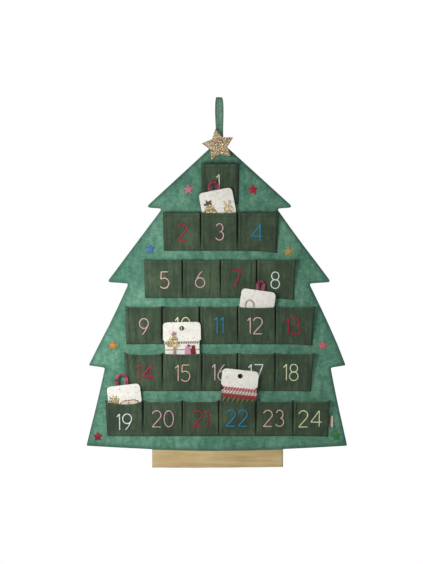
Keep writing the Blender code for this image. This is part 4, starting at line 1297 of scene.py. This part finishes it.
def make_strap(material):
    """The velvet strap over the hook's place: the back leg lies a little to the left of the front one."""
    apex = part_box("front_panel")[1].z
    path = []
    tail = apex - TAIL_LENGTH
    gap = RIBBON_THICKNESS / 2 + 0.0001
    for k in range(9):
        path.append((-gap, tail + (-LEG_LENGTH - tail) * k / 8))
    for k in range(1, 15):
        t = k / 15
        z = -LEG_LENGTH + (LEG_LENGTH - CROWN_RADIUS) * t
        path.append((-gap - (CROWN_RADIUS + 0.0001) * math.sin(math.pi / 2 * t) ** 2, z))
    reach = gap + CROWN_RADIUS + 0.0001
    path += arc((0.0, -CROWN_RADIUS), (reach, reach), 180, 0, 12) + [(-y, z) for y, z in reversed(path)]
    count = len(path)
    along = directions(np.array(path), False)
    section = []
    for k in range(STRAP_SIDES):
        angle = 2 * math.pi * k / STRAP_SIDES
        across = math.copysign(abs(math.cos(angle)) ** 0.7, math.cos(angle))
        section.append((across, math.copysign(abs(math.sin(angle)) ** 0.6, math.sin(angle))))
    points = []
    marks = []
    for i, ((y, z), (ay, az)) in enumerate(zip(path, along)):
        crown = bell((i - count / 2) / CROWN_SPAN)
        rise = smooth_step(-LEG_LENGTH * 1.3, -CROWN_RADIUS, z)
        half = (RIBBON_WIDTH + (RIBBON_CROWN_WIDTH - RIBBON_WIDTH) * crown) / 2
        low_shift, more = FRONT_LEG_SHIFT if i < count / 2 else BACK_LEG_SHIFT
        shift = (low_shift + more * rise) * (1 - crown)
        for across, through in section:
            out = through * RIBBON_THICKNESS / 2
            if through > 0:
                out *= 1.0 + CROWN_FULLNESS * crown
                fold = smooth_step(STRAP_FOLD + 0.10, STRAP_FOLD - 0.04, across)
                out += 0.0003 * fold - 0.0004 * bell((across - STRAP_FOLD) / 0.07)
            points.append((shift + across * half, y - az * out, z + ay * out))
            # Painted shade: darker towards both margins of the strap and along its fold.
            margin = smooth_step(0.62, 0.98, abs(across))
            marks.append(max(0.95 * margin, 0.6 * bell((across - STRAP_FOLD) / 0.09)))
    shape = Shape()
    shape.add(points, rod_faces(count, STRAP_SIDES), marks)
    piece = make("strap_ribbon", shape, material, ["hanging_loop"])


def make_trunk(linen, board):
    """The gold strip: cloth folded round a board, its ends sewn shut."""
    low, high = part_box("trunk_cover")
    half = (high.y - low.y) / 2
    middle_y = (high.y + low.y) / 2
    width, tall = high.x - low.x, high.z - low.z
    heights = [k / TRUNK_STEPS for k in range(TRUNK_STEPS + 1)]
    profile = [(-1.0, up) for up in reversed(heights)]
    profile += arc((0.0, 0.0), (-1.0, -0.02), 0, 180, TRUNK_STEPS)[1:-1]
    profile += [(1.0, up) for up in heights]
    points = []
    for i in range(TRUNK_COLUMNS + 1):
        share = i / TRUNK_COLUMNS
        x = low.x + width * share
        pinch = 0.48 + 0.52 * smooth_step(0.0, TRUNK_PINCH, min(x - low.x, high.x - x))
        dip = -0.0006 * math.sin(math.pi * share * 1.2) + 0.0010 * share
        wave = 0.0004 * uneven(x * 30, 5.0, 1.0)
        for side, up in profile:
            z = low.z + tall * up + (dip + wave) * (1 - up) ** 2
            sink = 0.00025 * max(0.0, uneven(x * 22, side, z * 40))
            crease = 0.0004 * bell((up - 0.52) / 0.03) if side < 0 else 0.0
            points.append((x, middle_y + side * (half * pinch - sink - crease), z))
    shape = Shape()
    shape.add(points, quads(TRUNK_COLUMNS + 1, len(profile)))
    piece = thickened(make("linen_trunk", shape, linen, ["trunk_cover"]), TRUNK_CLOTH)

    def front(x, z, d):
        return BOARD_HALF if d > 0 else BOARD_EDGE_HALF

    def back(x, z, d):
        return -front(x, z, d)

    left, right, bottom = low.x + BOARD_INSET, high.x - BOARD_INSET, low.z + BOARD_RISE
    corners = [(left, bottom), (right, bottom), (right, high.z), (left, high.z)]
    shape = slab(resampled(corners, 0.006, smoothing=0), (0.001,), 0.008, on_panel, front, back)
    make("trunk_board", shape, board, ["trunk_stiffener"], smooth=False)


def make_label(material):
    """The folded tape in the last pocket's side seam, its free fold standing a little proud."""
    low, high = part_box("side_label")
    width, tall = high.x - low.x, high.z - low.z
    points = []
    marks = []
    for r in range(LABEL_ROWS):
        up = r / (LABEL_ROWS - 1)
        for k in range(2 * LABEL_COLUMNS):
            back = k >= LABEL_COLUMNS
            t = (2 * LABEL_COLUMNS - 1 - k if back else k) / (LABEL_COLUMNS - 1)
            bend = 0.0022 * t**1.6 + 0.0005 * math.sin(3 * up + 2 * t)
            loop = 0.00055 * math.sin(math.pi * min(1.0, t + 0.02)) ** 0.5 if 0 < t < 1 else 0.0001
            y = high.y - 0.0004 - bend + (loop if back else -loop)
            points.append((low.x + (width - 0.0004) * t, y, low.z + tall * up))
            marks.append(1.0 - smooth_step(0.42, 0.48, t))
    shape = Shape()
    shape.add(points, quads(LABEL_ROWS, 2 * LABEL_COLUMNS, False, True), marks)
    piece = thickened(make("folded_label", shape, material, ["side_label"]), LABEL_TAPE)


# The gift cards


class Card:
    """A gift card's own frame: X across it, Z up it, its face towards -Y."""

    def __init__(self, key, pocket):
        self.key = key
        self.body = f"card_{key}"
        joint = next(j for j in frame["joints"] if j["name"] == f"card_{key}_slide")
        up = Vector(joint["axis"])
        tilt, lean = math.atan2(-up.x, up.z), math.asin(-up.y)
        turn = Matrix.Rotation(-tilt, 4, "Y") @ Matrix.Rotation(lean, 4, "X")
        node = bpy.data.objects[f"gift_card_{key}"].data
        local = [turn.inverted() @ vertex.co for vertex in node.vertices]
        card_y = (min(p.y for p in local) + max(p.y for p in local)) / 2
        origin = Vector((pocket.middle, 0.0, pocket.mouth_z))
        offset = (turn.inverted() @ origin).y
        normal = turn.to_3x3().col[1]
        origin.y += (card_y - offset) / normal.y
        self.matrix = Matrix.Translation(origin) @ turn
        self.inverse = self.matrix.inverted()
        low, high = self.box(f"gift_card_{key}")
        self.thickness = high.y - low.y
        self.top = high.z
        self.half_width = (high.x - low.x) / 2

    def box(self, node):
        """A node's corners in the card's frame."""
        points = [self.inverse @ vertex.co for vertex in bpy.data.objects[node].data.vertices]
        low = Vector([min(p[i] for p in points) for i in range(3)])
        high = Vector([max(p[i] for p in points) for i in range(3)])
        return low, high

    def place(self, x, z, out):
        """A point in front of the card's middle by out, in the world."""
        return tuple(self.matrix @ Vector((x, -out, z)))

    def placing(self, base):
        """The place function whose out starts at a height in front of the card's middle."""

        def place(x, z, out):
            return self.place(x, z, base + out)

        return place


def make_inner_loops(card, node, name, material, shift):
    """The elastic's back strands, nested inside its outer loop in a darker copy of the elastic: painted
    shade.
    """
    low, high = card.box(node)
    middle = (low.x + high.x) / 2 + shift
    place = card.placing(-(low.y + high.y) / 2 - INNER_THIN)
    shape = Shape()
    for step in range(INNER_STRANDS):
        radius = (high.x - low.x) / 2 - INNER_INSET - INNER_PITCH * step
        crown = high.z - INNER_DROP - INNER_PITCH * step - radius
        if radius < INNER_PITCH / 3:
            break
        bow = arc((middle, crown), (radius, radius), 0, 180, 12)
        points = [(middle + radius, low.z), *bow, (middle - radius, low.z)]
        line = resampled(points, 0.0011, False, 2)
        tube(shape, line, False, INNER_PITCH * 0.52, INNER_THIN, place, 8, 0.05)
    make(name, shape, material, (), card.body, slots[node])


def make_hair_tie(card, node, name, material, as_ribbon=False, shift=0.0):
    """An elastic loop that stands up behind the card's top edge."""
    low, high = card.box(node)
    middle = (low.x + high.x) / 2 + shift
    band, thin, lanes = RIBBON_FORM if as_ribbon else TIE_FORM
    place = card.placing(-(low.y + high.y) / 2 - thin)
    radius = (high.x - low.x) / 2 - band / 2
    crown = high.z - radius - band / 2
    ups = [k / LEG_STEPS for k in range(LEG_STEPS + 1)]
    leg = [(radius * (1.0 - LEG_DRAW_SHARE * (1.0 - up)), low.z + (crown - low.z) * up) for up in ups]
    points = [(middle + x, z) for x, z in leg]
    points += arc((middle, crown), (radius, radius), 0, 180, 16)[1:-1]
    points += [(middle - x, z) for x, z in reversed(leg)]
    line = resampled(points, CLIP_STEP, False, 4)
    along = directions(line, False)
    side = np.stack([-along[:, 1], along[:, 0]], axis=1)
    apart = np.ones(len(line))
    if as_ribbon:
        heights = [(z - low.z) / (high.z - low.z) for _, z in line]
        apart = np.array([1.0 - 0.85 * smooth_step(0.50, 0.95, height) for height in heights])
    shape = Shape()
    for lane, share in lanes:
        strand = line + side * (lane * band * apart)[:, None]
        tube(shape, strand, False, band * share / 2, thin, place, 10, 0.04)
    piece = make(name, shape, material, [node], card.body)


def make_cord_band(card, node, name, material, pitch, slack, drop, shift):
    """A twisted elastic wrapped round the card: slanted lobes on a flat band."""
    low, high = card.box(node)
    x = high.x - 0.0004 + slack - CORD_CORNER
    y = high.y - 0.0004 - CORD_CORNER
    half = (high.z - low.z) / 2 + drop / 2
    middle = (high.z + low.z) / 2 - drop / 2
    track = []
    for side_x, side_y, start in ((1, -1, -90), (1, 1, 0), (-1, 1, 90), (-1, -1, 180)):
        track += arc((side_x * x, side_y * y), (CORD_CORNER, CORD_CORNER), start, start + 90, 3)
    line = resampled(track, 0.0004, True, 0)
    travelled = np.concatenate([[0.0], np.cumsum(np.linalg.norm(np.diff(line, axis=0), axis=1))])
    whole = travelled[-1] + float(np.linalg.norm(line[0] - line[-1]))
    turns = round(whole / pitch)
    points = []
    marks = []
    for (px, py), (ax, ay), s in zip(line, directions(line, True), travelled):
        for up, through in arc((0.0, 0.0), (1.0, 1.0), 0, 360, CORD_SIDES)[:-1]:
            phase = 2 * math.pi * (turns * s / whole) - up * 1.5
            lobe = abs(math.sin(phase / 2))
            out = 0.0004 * through + (0.0005 * lobe if through > 0 else 0.0)
            z = middle + half * up * (1.0 + 0.06 * lobe) * 0.94
            points.append(card.place(px + shift + ay * out, z, ax * out - py))
            marks.append(phase)
    shape = Shape()
    shape.add(points, quads(len(line), CORD_SIDES, True, True), marks)
    make(name, shape, material, [node], card.body)


def box_line(box, shares, step, closed=True, smoothing=2):
    """An outline given as shares of a box, as an even line."""
    low, high = box
    points = [(low.x + (high.x - low.x) * x, low.z + (high.z - low.z) * z) for x, z in shares]
    return resampled(points, step, closed, smoothing)


def raised(card, line, cell, base, height, edge, rough=0.0, seed=1, depths=(0.0004,)):
    """A soft-edged body on the card's face over an outline."""
    rng = random.Random(seed)

    def front(x, z, d):
        full = 0.45 + 0.55 * (1 - fall_off(d, edge))
        return base + height * full + rng.uniform(-rough, rough) * min(1.0, d / edge)

    def back(x, z, d):
        return base

    return slab(line, depths, cell, card.place, front, back, seed, 0.3 if rough else 0.16)


def make_tree_clip(card, node, name, materials, shares):
    """A glitter tree on a clip: a jagged body, a topper and a foot."""
    box = card.box(node)
    base = -box[1].y + CLIP_CLEAR
    height = box[1].y - box[0].y - CLIP_UNDER
    body = box_line(box, shares["body"], CLIP_STEP, smoothing=1)
    shape = raised(card, body, CLIP_CELL, base, height, 0.0012, 0.00022, 3)
    make(name, shape, materials["body"], [node], card.body, smooth=False)
    for part in ("cap", "foot"):
        line = box_line(box, shares[part], 0.0007, smoothing=1)
        shape = raised(card, line, CLIP_CELL, base, height * 0.8, 0.0010, 0.00012, 5)
        make(f"{name}_{part}", shape, materials[part], (), card.body, slots[node], smooth=False)


def make_antler_clip(card, node, material):
    """A fine gold clip: two branching antlers over a looped bow."""
    box = card.box(node)
    place = card.placing(-box[1].y + WIRE_CLEAR)
    thin = 0.00055
    shape = Shape()
    for stroke in ANTLER_SHARES:
        tube(shape, box_line(box, stroke, WIRE_STEP, False, 3), False, 0.0011, thin, place, 8, 0.05)
    for side in (-1, 1):
        loop = []
        for k in range(20):
            angle = 2 * math.pi * k / 20
            across = 0.23 + 0.23 * math.cos(angle)
            loop.append((0.5 + side * across, 0.28 + 0.22 * math.sin(angle) - 0.10 * math.cos(angle)))
        tube(shape, box_line(box, loop, WIRE_STEP), True, 0.0013, thin * 1.3, place, 8, 0.05)
    for tail in BOW_TAIL_SHARES:
        tube(shape, box_line(box, tail, WIRE_STEP, False), False, 0.0008, thin, place, 8)
    make("antler_clip", shape, material, [node], card.body)


def make_ring_clip(card, node, material):
    """A thin gold ring with a finer one inside it."""
    low, high = card.box(node)
    place = card.placing(-high.y + WIRE_CLEAR)
    centre = ((low.x + high.x) / 2 + 0.0006, (low.z + high.z) / 2)
    radii = ((high.x - low.x) / 2 + 0.0004, (high.z - low.z) / 2 - 0.0006)
    shape = Shape()
    for size, wavy, width in ((1.0, 0.03, 0.00046), (0.84, 0.0, 0.00028)):
        loop = []
        for k in range(64):
            angle = 2 * math.pi * k / 64
            reach = size * (1.0 + wavy * math.sin(angle * 9))
            x, z = radii[0] * reach * math.cos(angle), radii[1] * reach * math.sin(angle)
            loop.append((centre[0] + x, centre[1] + z))
        tube(shape, resampled(loop, 0.0008, True, 1), True, width, 0.0008, place, 8, 0.05)
    make("ring_clip", shape, material, [node], card.body)


def make_present_clip(card, node, pink, dark, tie):
    """A little felt parcel in two colours with a tie."""
    box = card.box(node)
    base = -box[1].y + CLIP_CLEAR
    height = box[1].y - box[0].y - 0.0007
    sides = (
        ("parcel_front", PARCEL_FRONT_SHARES, pink, 1.0, [node]),
        ("parcel_side", PARCEL_SIDE_SHARES, dark, 0.75, ()),
    )
    for i, (name, shares, material, full, replaced) in enumerate(sides):
        line = box_line(box, shares, CLIP_STEP)
        shape = raised(card, line, 0.0012, base, height * full, 0.0014, 0.0, 20 + i, (0.0004, 0.001))
        make(name, shape, material, replaced, card.body, slots[node])
    shape = Shape()
    place = card.placing(base + height * 0.7)
    knot = arc(PARCEL_KNOT_SHARE, (PARCEL_KNOT_RADIUS, PARCEL_KNOT_RADIUS), 0, 360, 12)[:-1]
    tube(shape, box_line(box, knot, 0.0006), True, 0.0012, 0.0007, place, 8, 0.06)
    tube(shape, box_line(box, PARCEL_STRING_SHARES, 0.0006, False), False, 0.0009, 0.0006, place, 8, 0.06)
    make("parcel_tie", shape, tie, (), card.body, slots[node])


def make_oval_clip(card, node, face, rim):
    """A pale oval bow with a gold outline."""
    box = card.box(node)
    base = -box[1].y + CLIP_CLEAR
    height = box[1].y - box[0].y - CLIP_UNDER
    shares = []
    for k in range(40):
        angle = 2 * math.pi * k / 40
        pull = 1.0 - 0.16 * bell(math.cos(angle) / 0.25)
        shares.append((0.5 + 0.50 * math.cos(angle), 0.5 + 0.42 * math.sin(angle) * pull - OVAL_DROP_SHARE))
    line = box_line(box, shares, CLIP_STEP, smoothing=1)
    shape = raised(card, line, 0.0014, base, height * 0.8, 0.0012, 0.0, 31, (0.0004, 0.001))
    make("oval_clip", shape, face, [node], card.body)
    shape = Shape()
    place = card.placing(base + height * 0.35)
    bar = [(x, z - OVAL_DROP_SHARE) for x, z in ((0.46, 0.14), (0.47, 0.5), (0.46, 0.86))]
    tube(shape, line, True, 0.0010, 0.0009, place, 8, 0.05)
    tube(shape, box_line(box, bar, 0.0007, False, 1), False, 0.0008, 0.0009, place, 8, 0.05)
    make("oval_clip_rim", shape, rim, (), card.body, slots[node])


def make_crown_clip(card, node, material):
    """A glitter crown of short points, half in the pocket."""
    low, high = box = card.box(node)
    line = box_line(box, CROWN_SHARES, CLIP_STEP, smoothing=1)
    height = high.y - low.y - CLIP_UNDER
    shape = raised(card, line, CLIP_CELL, -high.y + CLIP_CLEAR, height, 0.0010, 0.00022, 9)
    make("crown_clip", shape, material, [node], card.body, smooth=False)


def make_band_knots(card, node, material):
    """The dark knots at the ends of the first band."""
    high = card.box(node)[1]
    shape = Shape()
    for side in (-1, 1):
        x = 0.0016 + side * (high.x + 0.0022)
        for k in range(3):
            centre = card.place(x + side * 0.0005 * k, high.z - 0.0010 - 0.0018 * k, 0.0026)
            capsule(shape, centre, (side * 0.6, 0.0, 0.8 - 0.7 * k), 0.0050, 0.0017, 8)
    make("band_knots", shape, material, (), card.body, slots[node])


def dress_cards(pockets):
    """Gives each card its paper, its clips and its bands."""
    cards = {}
    for joint in frame["joints"]:
        key = joint["name"].split("_")[1]
        cards[key] = Card(key, pockets[int(key) - 1])
    stock = paper("speckled_card")
    for key in cards:
        for entry in bpy.data.objects[f"gift_card_{key}"].material_slots:
            entry.material = stock
    magenta = satin("magenta_elastic", rgb(104, 10, 38), rgb(206, 62, 102))
    make_hair_tie(cards["03"], "hair_tie_03", "elastic_03", magenta, shift=0.0030)
    make_hair_tie(cards["12"], "hair_tie_12", "elastic_12", magenta)
    # A darker copy of the elastic: painted shade on the ties' back strands.
    shaded_magenta = satin("dark_elastic", rgb(22, 12, 20), rgb(66, 22, 42))
    make_inner_loops(cards["03"], "hair_tie_03", "elastic_03_inner", shaded_magenta, 0.0028)
    make_inner_loops(cards["12"], "hair_tie_12", "elastic_12_inner", shaded_magenta, 0.0)
    ribbon = satin("magenta_ribbon", rgb(112, 22, 52), rgb(196, 92, 126))
    make_hair_tie(cards["19"], "hair_ribbon_19", "ribbon_19", ribbon, True)

    warm = glitter("warm_glitter", rgb(94, 78, 42), rgb(170, 149, 100), rgb(236, 225, 190), 640.0)
    pale_gold = metal("pale_gold", rgb(168, 144, 102), rgb(218, 196, 152), 0.42)
    brown_gold = metal("brown_gold", rgb(120, 84, 48), rgb(182, 140, 88), 0.36)
    grey_gold = metal("grey_gold", rgb(160, 146, 124), rgb(204, 190, 168), 0.45)
    dusty = glitter("pink_glitter", rgb(128, 84, 92), rgb(196, 146, 152), rgb(226, 190, 192), 900.0)
    dark = glitter("dark_glitter", rgb(52, 44, 34), rgb(88, 74, 54), rgb(150, 128, 92), 900.0)
    round_tree = {"body": warm, "cap": dark, "foot": warm}
    leaning_tree = {"body": warm, "cap": dusty, "foot": dusty}
    make_tree_clip(cards["03"], "glitter_clip_03", "glitter_tree", round_tree, ROUND_TREE_SHARES)
    make_antler_clip(cards["03"], "bow_clip_03", pale_gold)
    make_ring_clip(cards["12"], "ring_clip_12", grey_gold)
    make_tree_clip(cards["15"], "tree_clip_15", "leaning_tree", leaning_tree, LEANING_TREE_SHARES)
    pink_felt = fibres("pink_felt", rgb(198, 120, 148), rgb(228, 164, 190), 500.0)
    red_felt = fibres("dark_red_felt", rgb(92, 18, 26), rgb(146, 44, 50), 500.0)
    string = satin("parcel_string", rgb(58, 10, 26), rgb(112, 38, 54))
    make_present_clip(cards["15"], "present_clip_15", pink_felt, red_felt, string)
    make_crown_clip(cards["19"], "crown_clip_19", warm)
    pearl = satin("pearl_satin", rgb(206, 190, 166), rgb(240, 232, 216))
    make_oval_clip(cards["19"], "oval_clip_19", pearl, brown_gold)

    for node, first, second, pitch, bias, slack, drop, shift in CORD_BANDS:
        material = cord(f"{node[:-3]}_cord", rgb(*first), rgb(*second), bias)
        make_cord_band(cards[node[-2:]], node, f"{node[:-3]}_twist", material, pitch, slack, drop, shift)
    knots = fibres("dark_knot", rgb(10, 8, 9), rgb(30, 24, 26), 500.0)
    make_band_knots(cards["22"], "red_white_band_22", knots)


# Camera, light and stage


def make_view():
    lens = bpy.data.cameras.new("camera")
    lens.sensor_width = SENSOR
    lens.lens = SENSOR * CAMERA_DISTANCE / VIEW_HEIGHT
    camera = bpy.data.objects.new("camera", lens)
    camera.location = (VIEW_CENTRE_X, face_y - CAMERA_DISTANCE, VIEW_CENTRE_Z)
    camera.rotation_euler = (math.pi / 2, 0.0, 0.0)
    bpy.context.scene.collection.objects.link(camera)
    bpy.context.scene.camera = camera
    bpy.context.scene.view_settings.view_transform = "Standard"


def make_lamp(name, place, size, power):
    light = bpy.data.lights.new(name, "AREA")
    light.shape = "DISK"
    light.size = size
    light.energy = power
    lamp = bpy.data.objects.new(name, light)
    lamp.location = place
    lamp.rotation_euler = (Vector(LIT_POINT) - Vector(place)).to_track_quat("-Z", "Y").to_euler()
    bpy.context.scene.collection.objects.link(lamp)


def make_world():
    """White where the camera or a reflection looks, a soft grey light for everything else."""
    world = bpy.data.worlds.new("studio")
    world.use_nodes = True
    bpy.context.scene.world = world
    tree = world.node_tree
    sky = tree.nodes["Background"]
    sky.inputs["Color"].default_value = (1.0, 1.0, 1.0, 1.0)
    path = tree.nodes.new("ShaderNodeLightPath")
    seen = path.outputs["Is Camera Ray"]
    for other in ("Is Glossy Ray", "Is Transmission Ray"):
        either = tree.nodes.new("ShaderNodeMath")
        either.operation = "MAXIMUM"
        tree.links.new(seen, either.inputs[0])
        tree.links.new(path.outputs[other], either.inputs[1])
        seen = either.outputs[0]
    strength = tree.nodes.new("ShaderNodeMapRange")
    strength.inputs["To Min"].default_value = AMBIENT
    strength.inputs["To Max"].default_value = 1.0
    tree.links.new(seen, strength.inputs["Value"])
    tree.links.new(strength.outputs["Result"], sky.inputs["Strength"])


def make_floor():
    mesh = bpy.data.meshes.new("floor")
    sides = ((-1, -1), (1, -1), (1, 1), (-1, 1))
    mesh.from_pydata([(x * FLOOR_HALF, y * FLOOR_HALF, FLOOR_Z) for x, y in sides], [], [(0, 1, 2, 3)])
    floor = bpy.data.objects.new("floor", mesh)
    bpy.context.scene.collection.objects.link(floor)
    material = bpy.data.materials.new("pale_floor")
    material.use_nodes = True
    tree = material.node_tree
    shader = tree.nodes["Principled BSDF"]
    shader.inputs["Base Color"].default_value = rgb(236, 236, 236)
    shader.inputs["Roughness"].default_value = 0.9
    glow = tree.nodes.new("ShaderNodeEmission")
    path = tree.nodes.new("ShaderNodeLightPath")
    mix = tree.nodes.new("ShaderNodeMixShader")
    tree.links.new(path.outputs["Is Camera Ray"], mix.inputs[0])
    tree.links.new(shader.outputs[0], mix.inputs[1])
    tree.links.new(glow.outputs[0], mix.inputs[2])
    tree.links.new(mix.outputs[0], tree.nodes["Material Output"].inputs["Surface"])
    mesh.materials.append(material)


def main():
    make_view()
    make_world()
    for name, (place, size, power) in LAMPS.items():
        make_lamp(name, place, size, power)
    make_floor()

    # The last colour of each velvet is its painted shade, for edges, margins and folds.
    green = velvet("crushed_velvet", rgb(62, 112, 93), rgb(90, 143, 118), rgb(124, 172, 147), rgb(54, 96, 82))
    line, area = make_velvet_front(green)
    make_wadding(fibres("polyester_wadding", rgb(214, 214, 210), rgb(240, 240, 238), 180.0))
    make_back(woven("backing_cloth", rgb(52, 84, 68), rgb(76, 112, 92)), line, area)
    pale = velvet("ribbon_velvet", rgb(80, 122, 102), rgb(117, 156, 132), rgb(150, 190, 166), rgb(52, 86, 72))
    make_strap(pale)
    make_trunk(
        woven("gold_linen", rgb(192, 164, 110), rgb(231, 205, 153), 300.0),
        fibres("stiff_board", rgb(206, 200, 186), rgb(226, 220, 208)),
    )
    make_glitter_star(
        glitter("gold_glitter", rgb(118, 92, 58), rgb(168, 146, 110), rgb(228, 212, 178), 620.0),
        fibres("felt_backing", rgb(120, 100, 70), rgb(156, 134, 98)),
    )

    rows = read_pockets()
    cloth = twill("green_twill", rgb(44, 61, 43), rgb(59, 78, 56), rgb(77, 97, 70))
    seams = thread("seam_thread", rgb(66, 92, 66))
    for i, row in enumerate(rows):
        make_strip(i + 1, row, cloth)
        make_stitches(i + 1, row, seams)
    pockets = [pocket for row in rows for pocket in row]
    threads = {}
    for pocket, colour in zip(pockets, NUMERAL_COLOURS):
        if colour not in threads:
            threads[colour] = thread(f"numeral_thread_{len(threads) + 1}", rgb(*colour))
        make_numeral(pocket, threads[colour], BOLD_STITCH_WIDTH if colour in (RED, BLUE) else STITCH_WIDTH)
    make_small_stars(rows)
    make_label(tape("cream_tape"))
    dress_cards(pockets)


main()
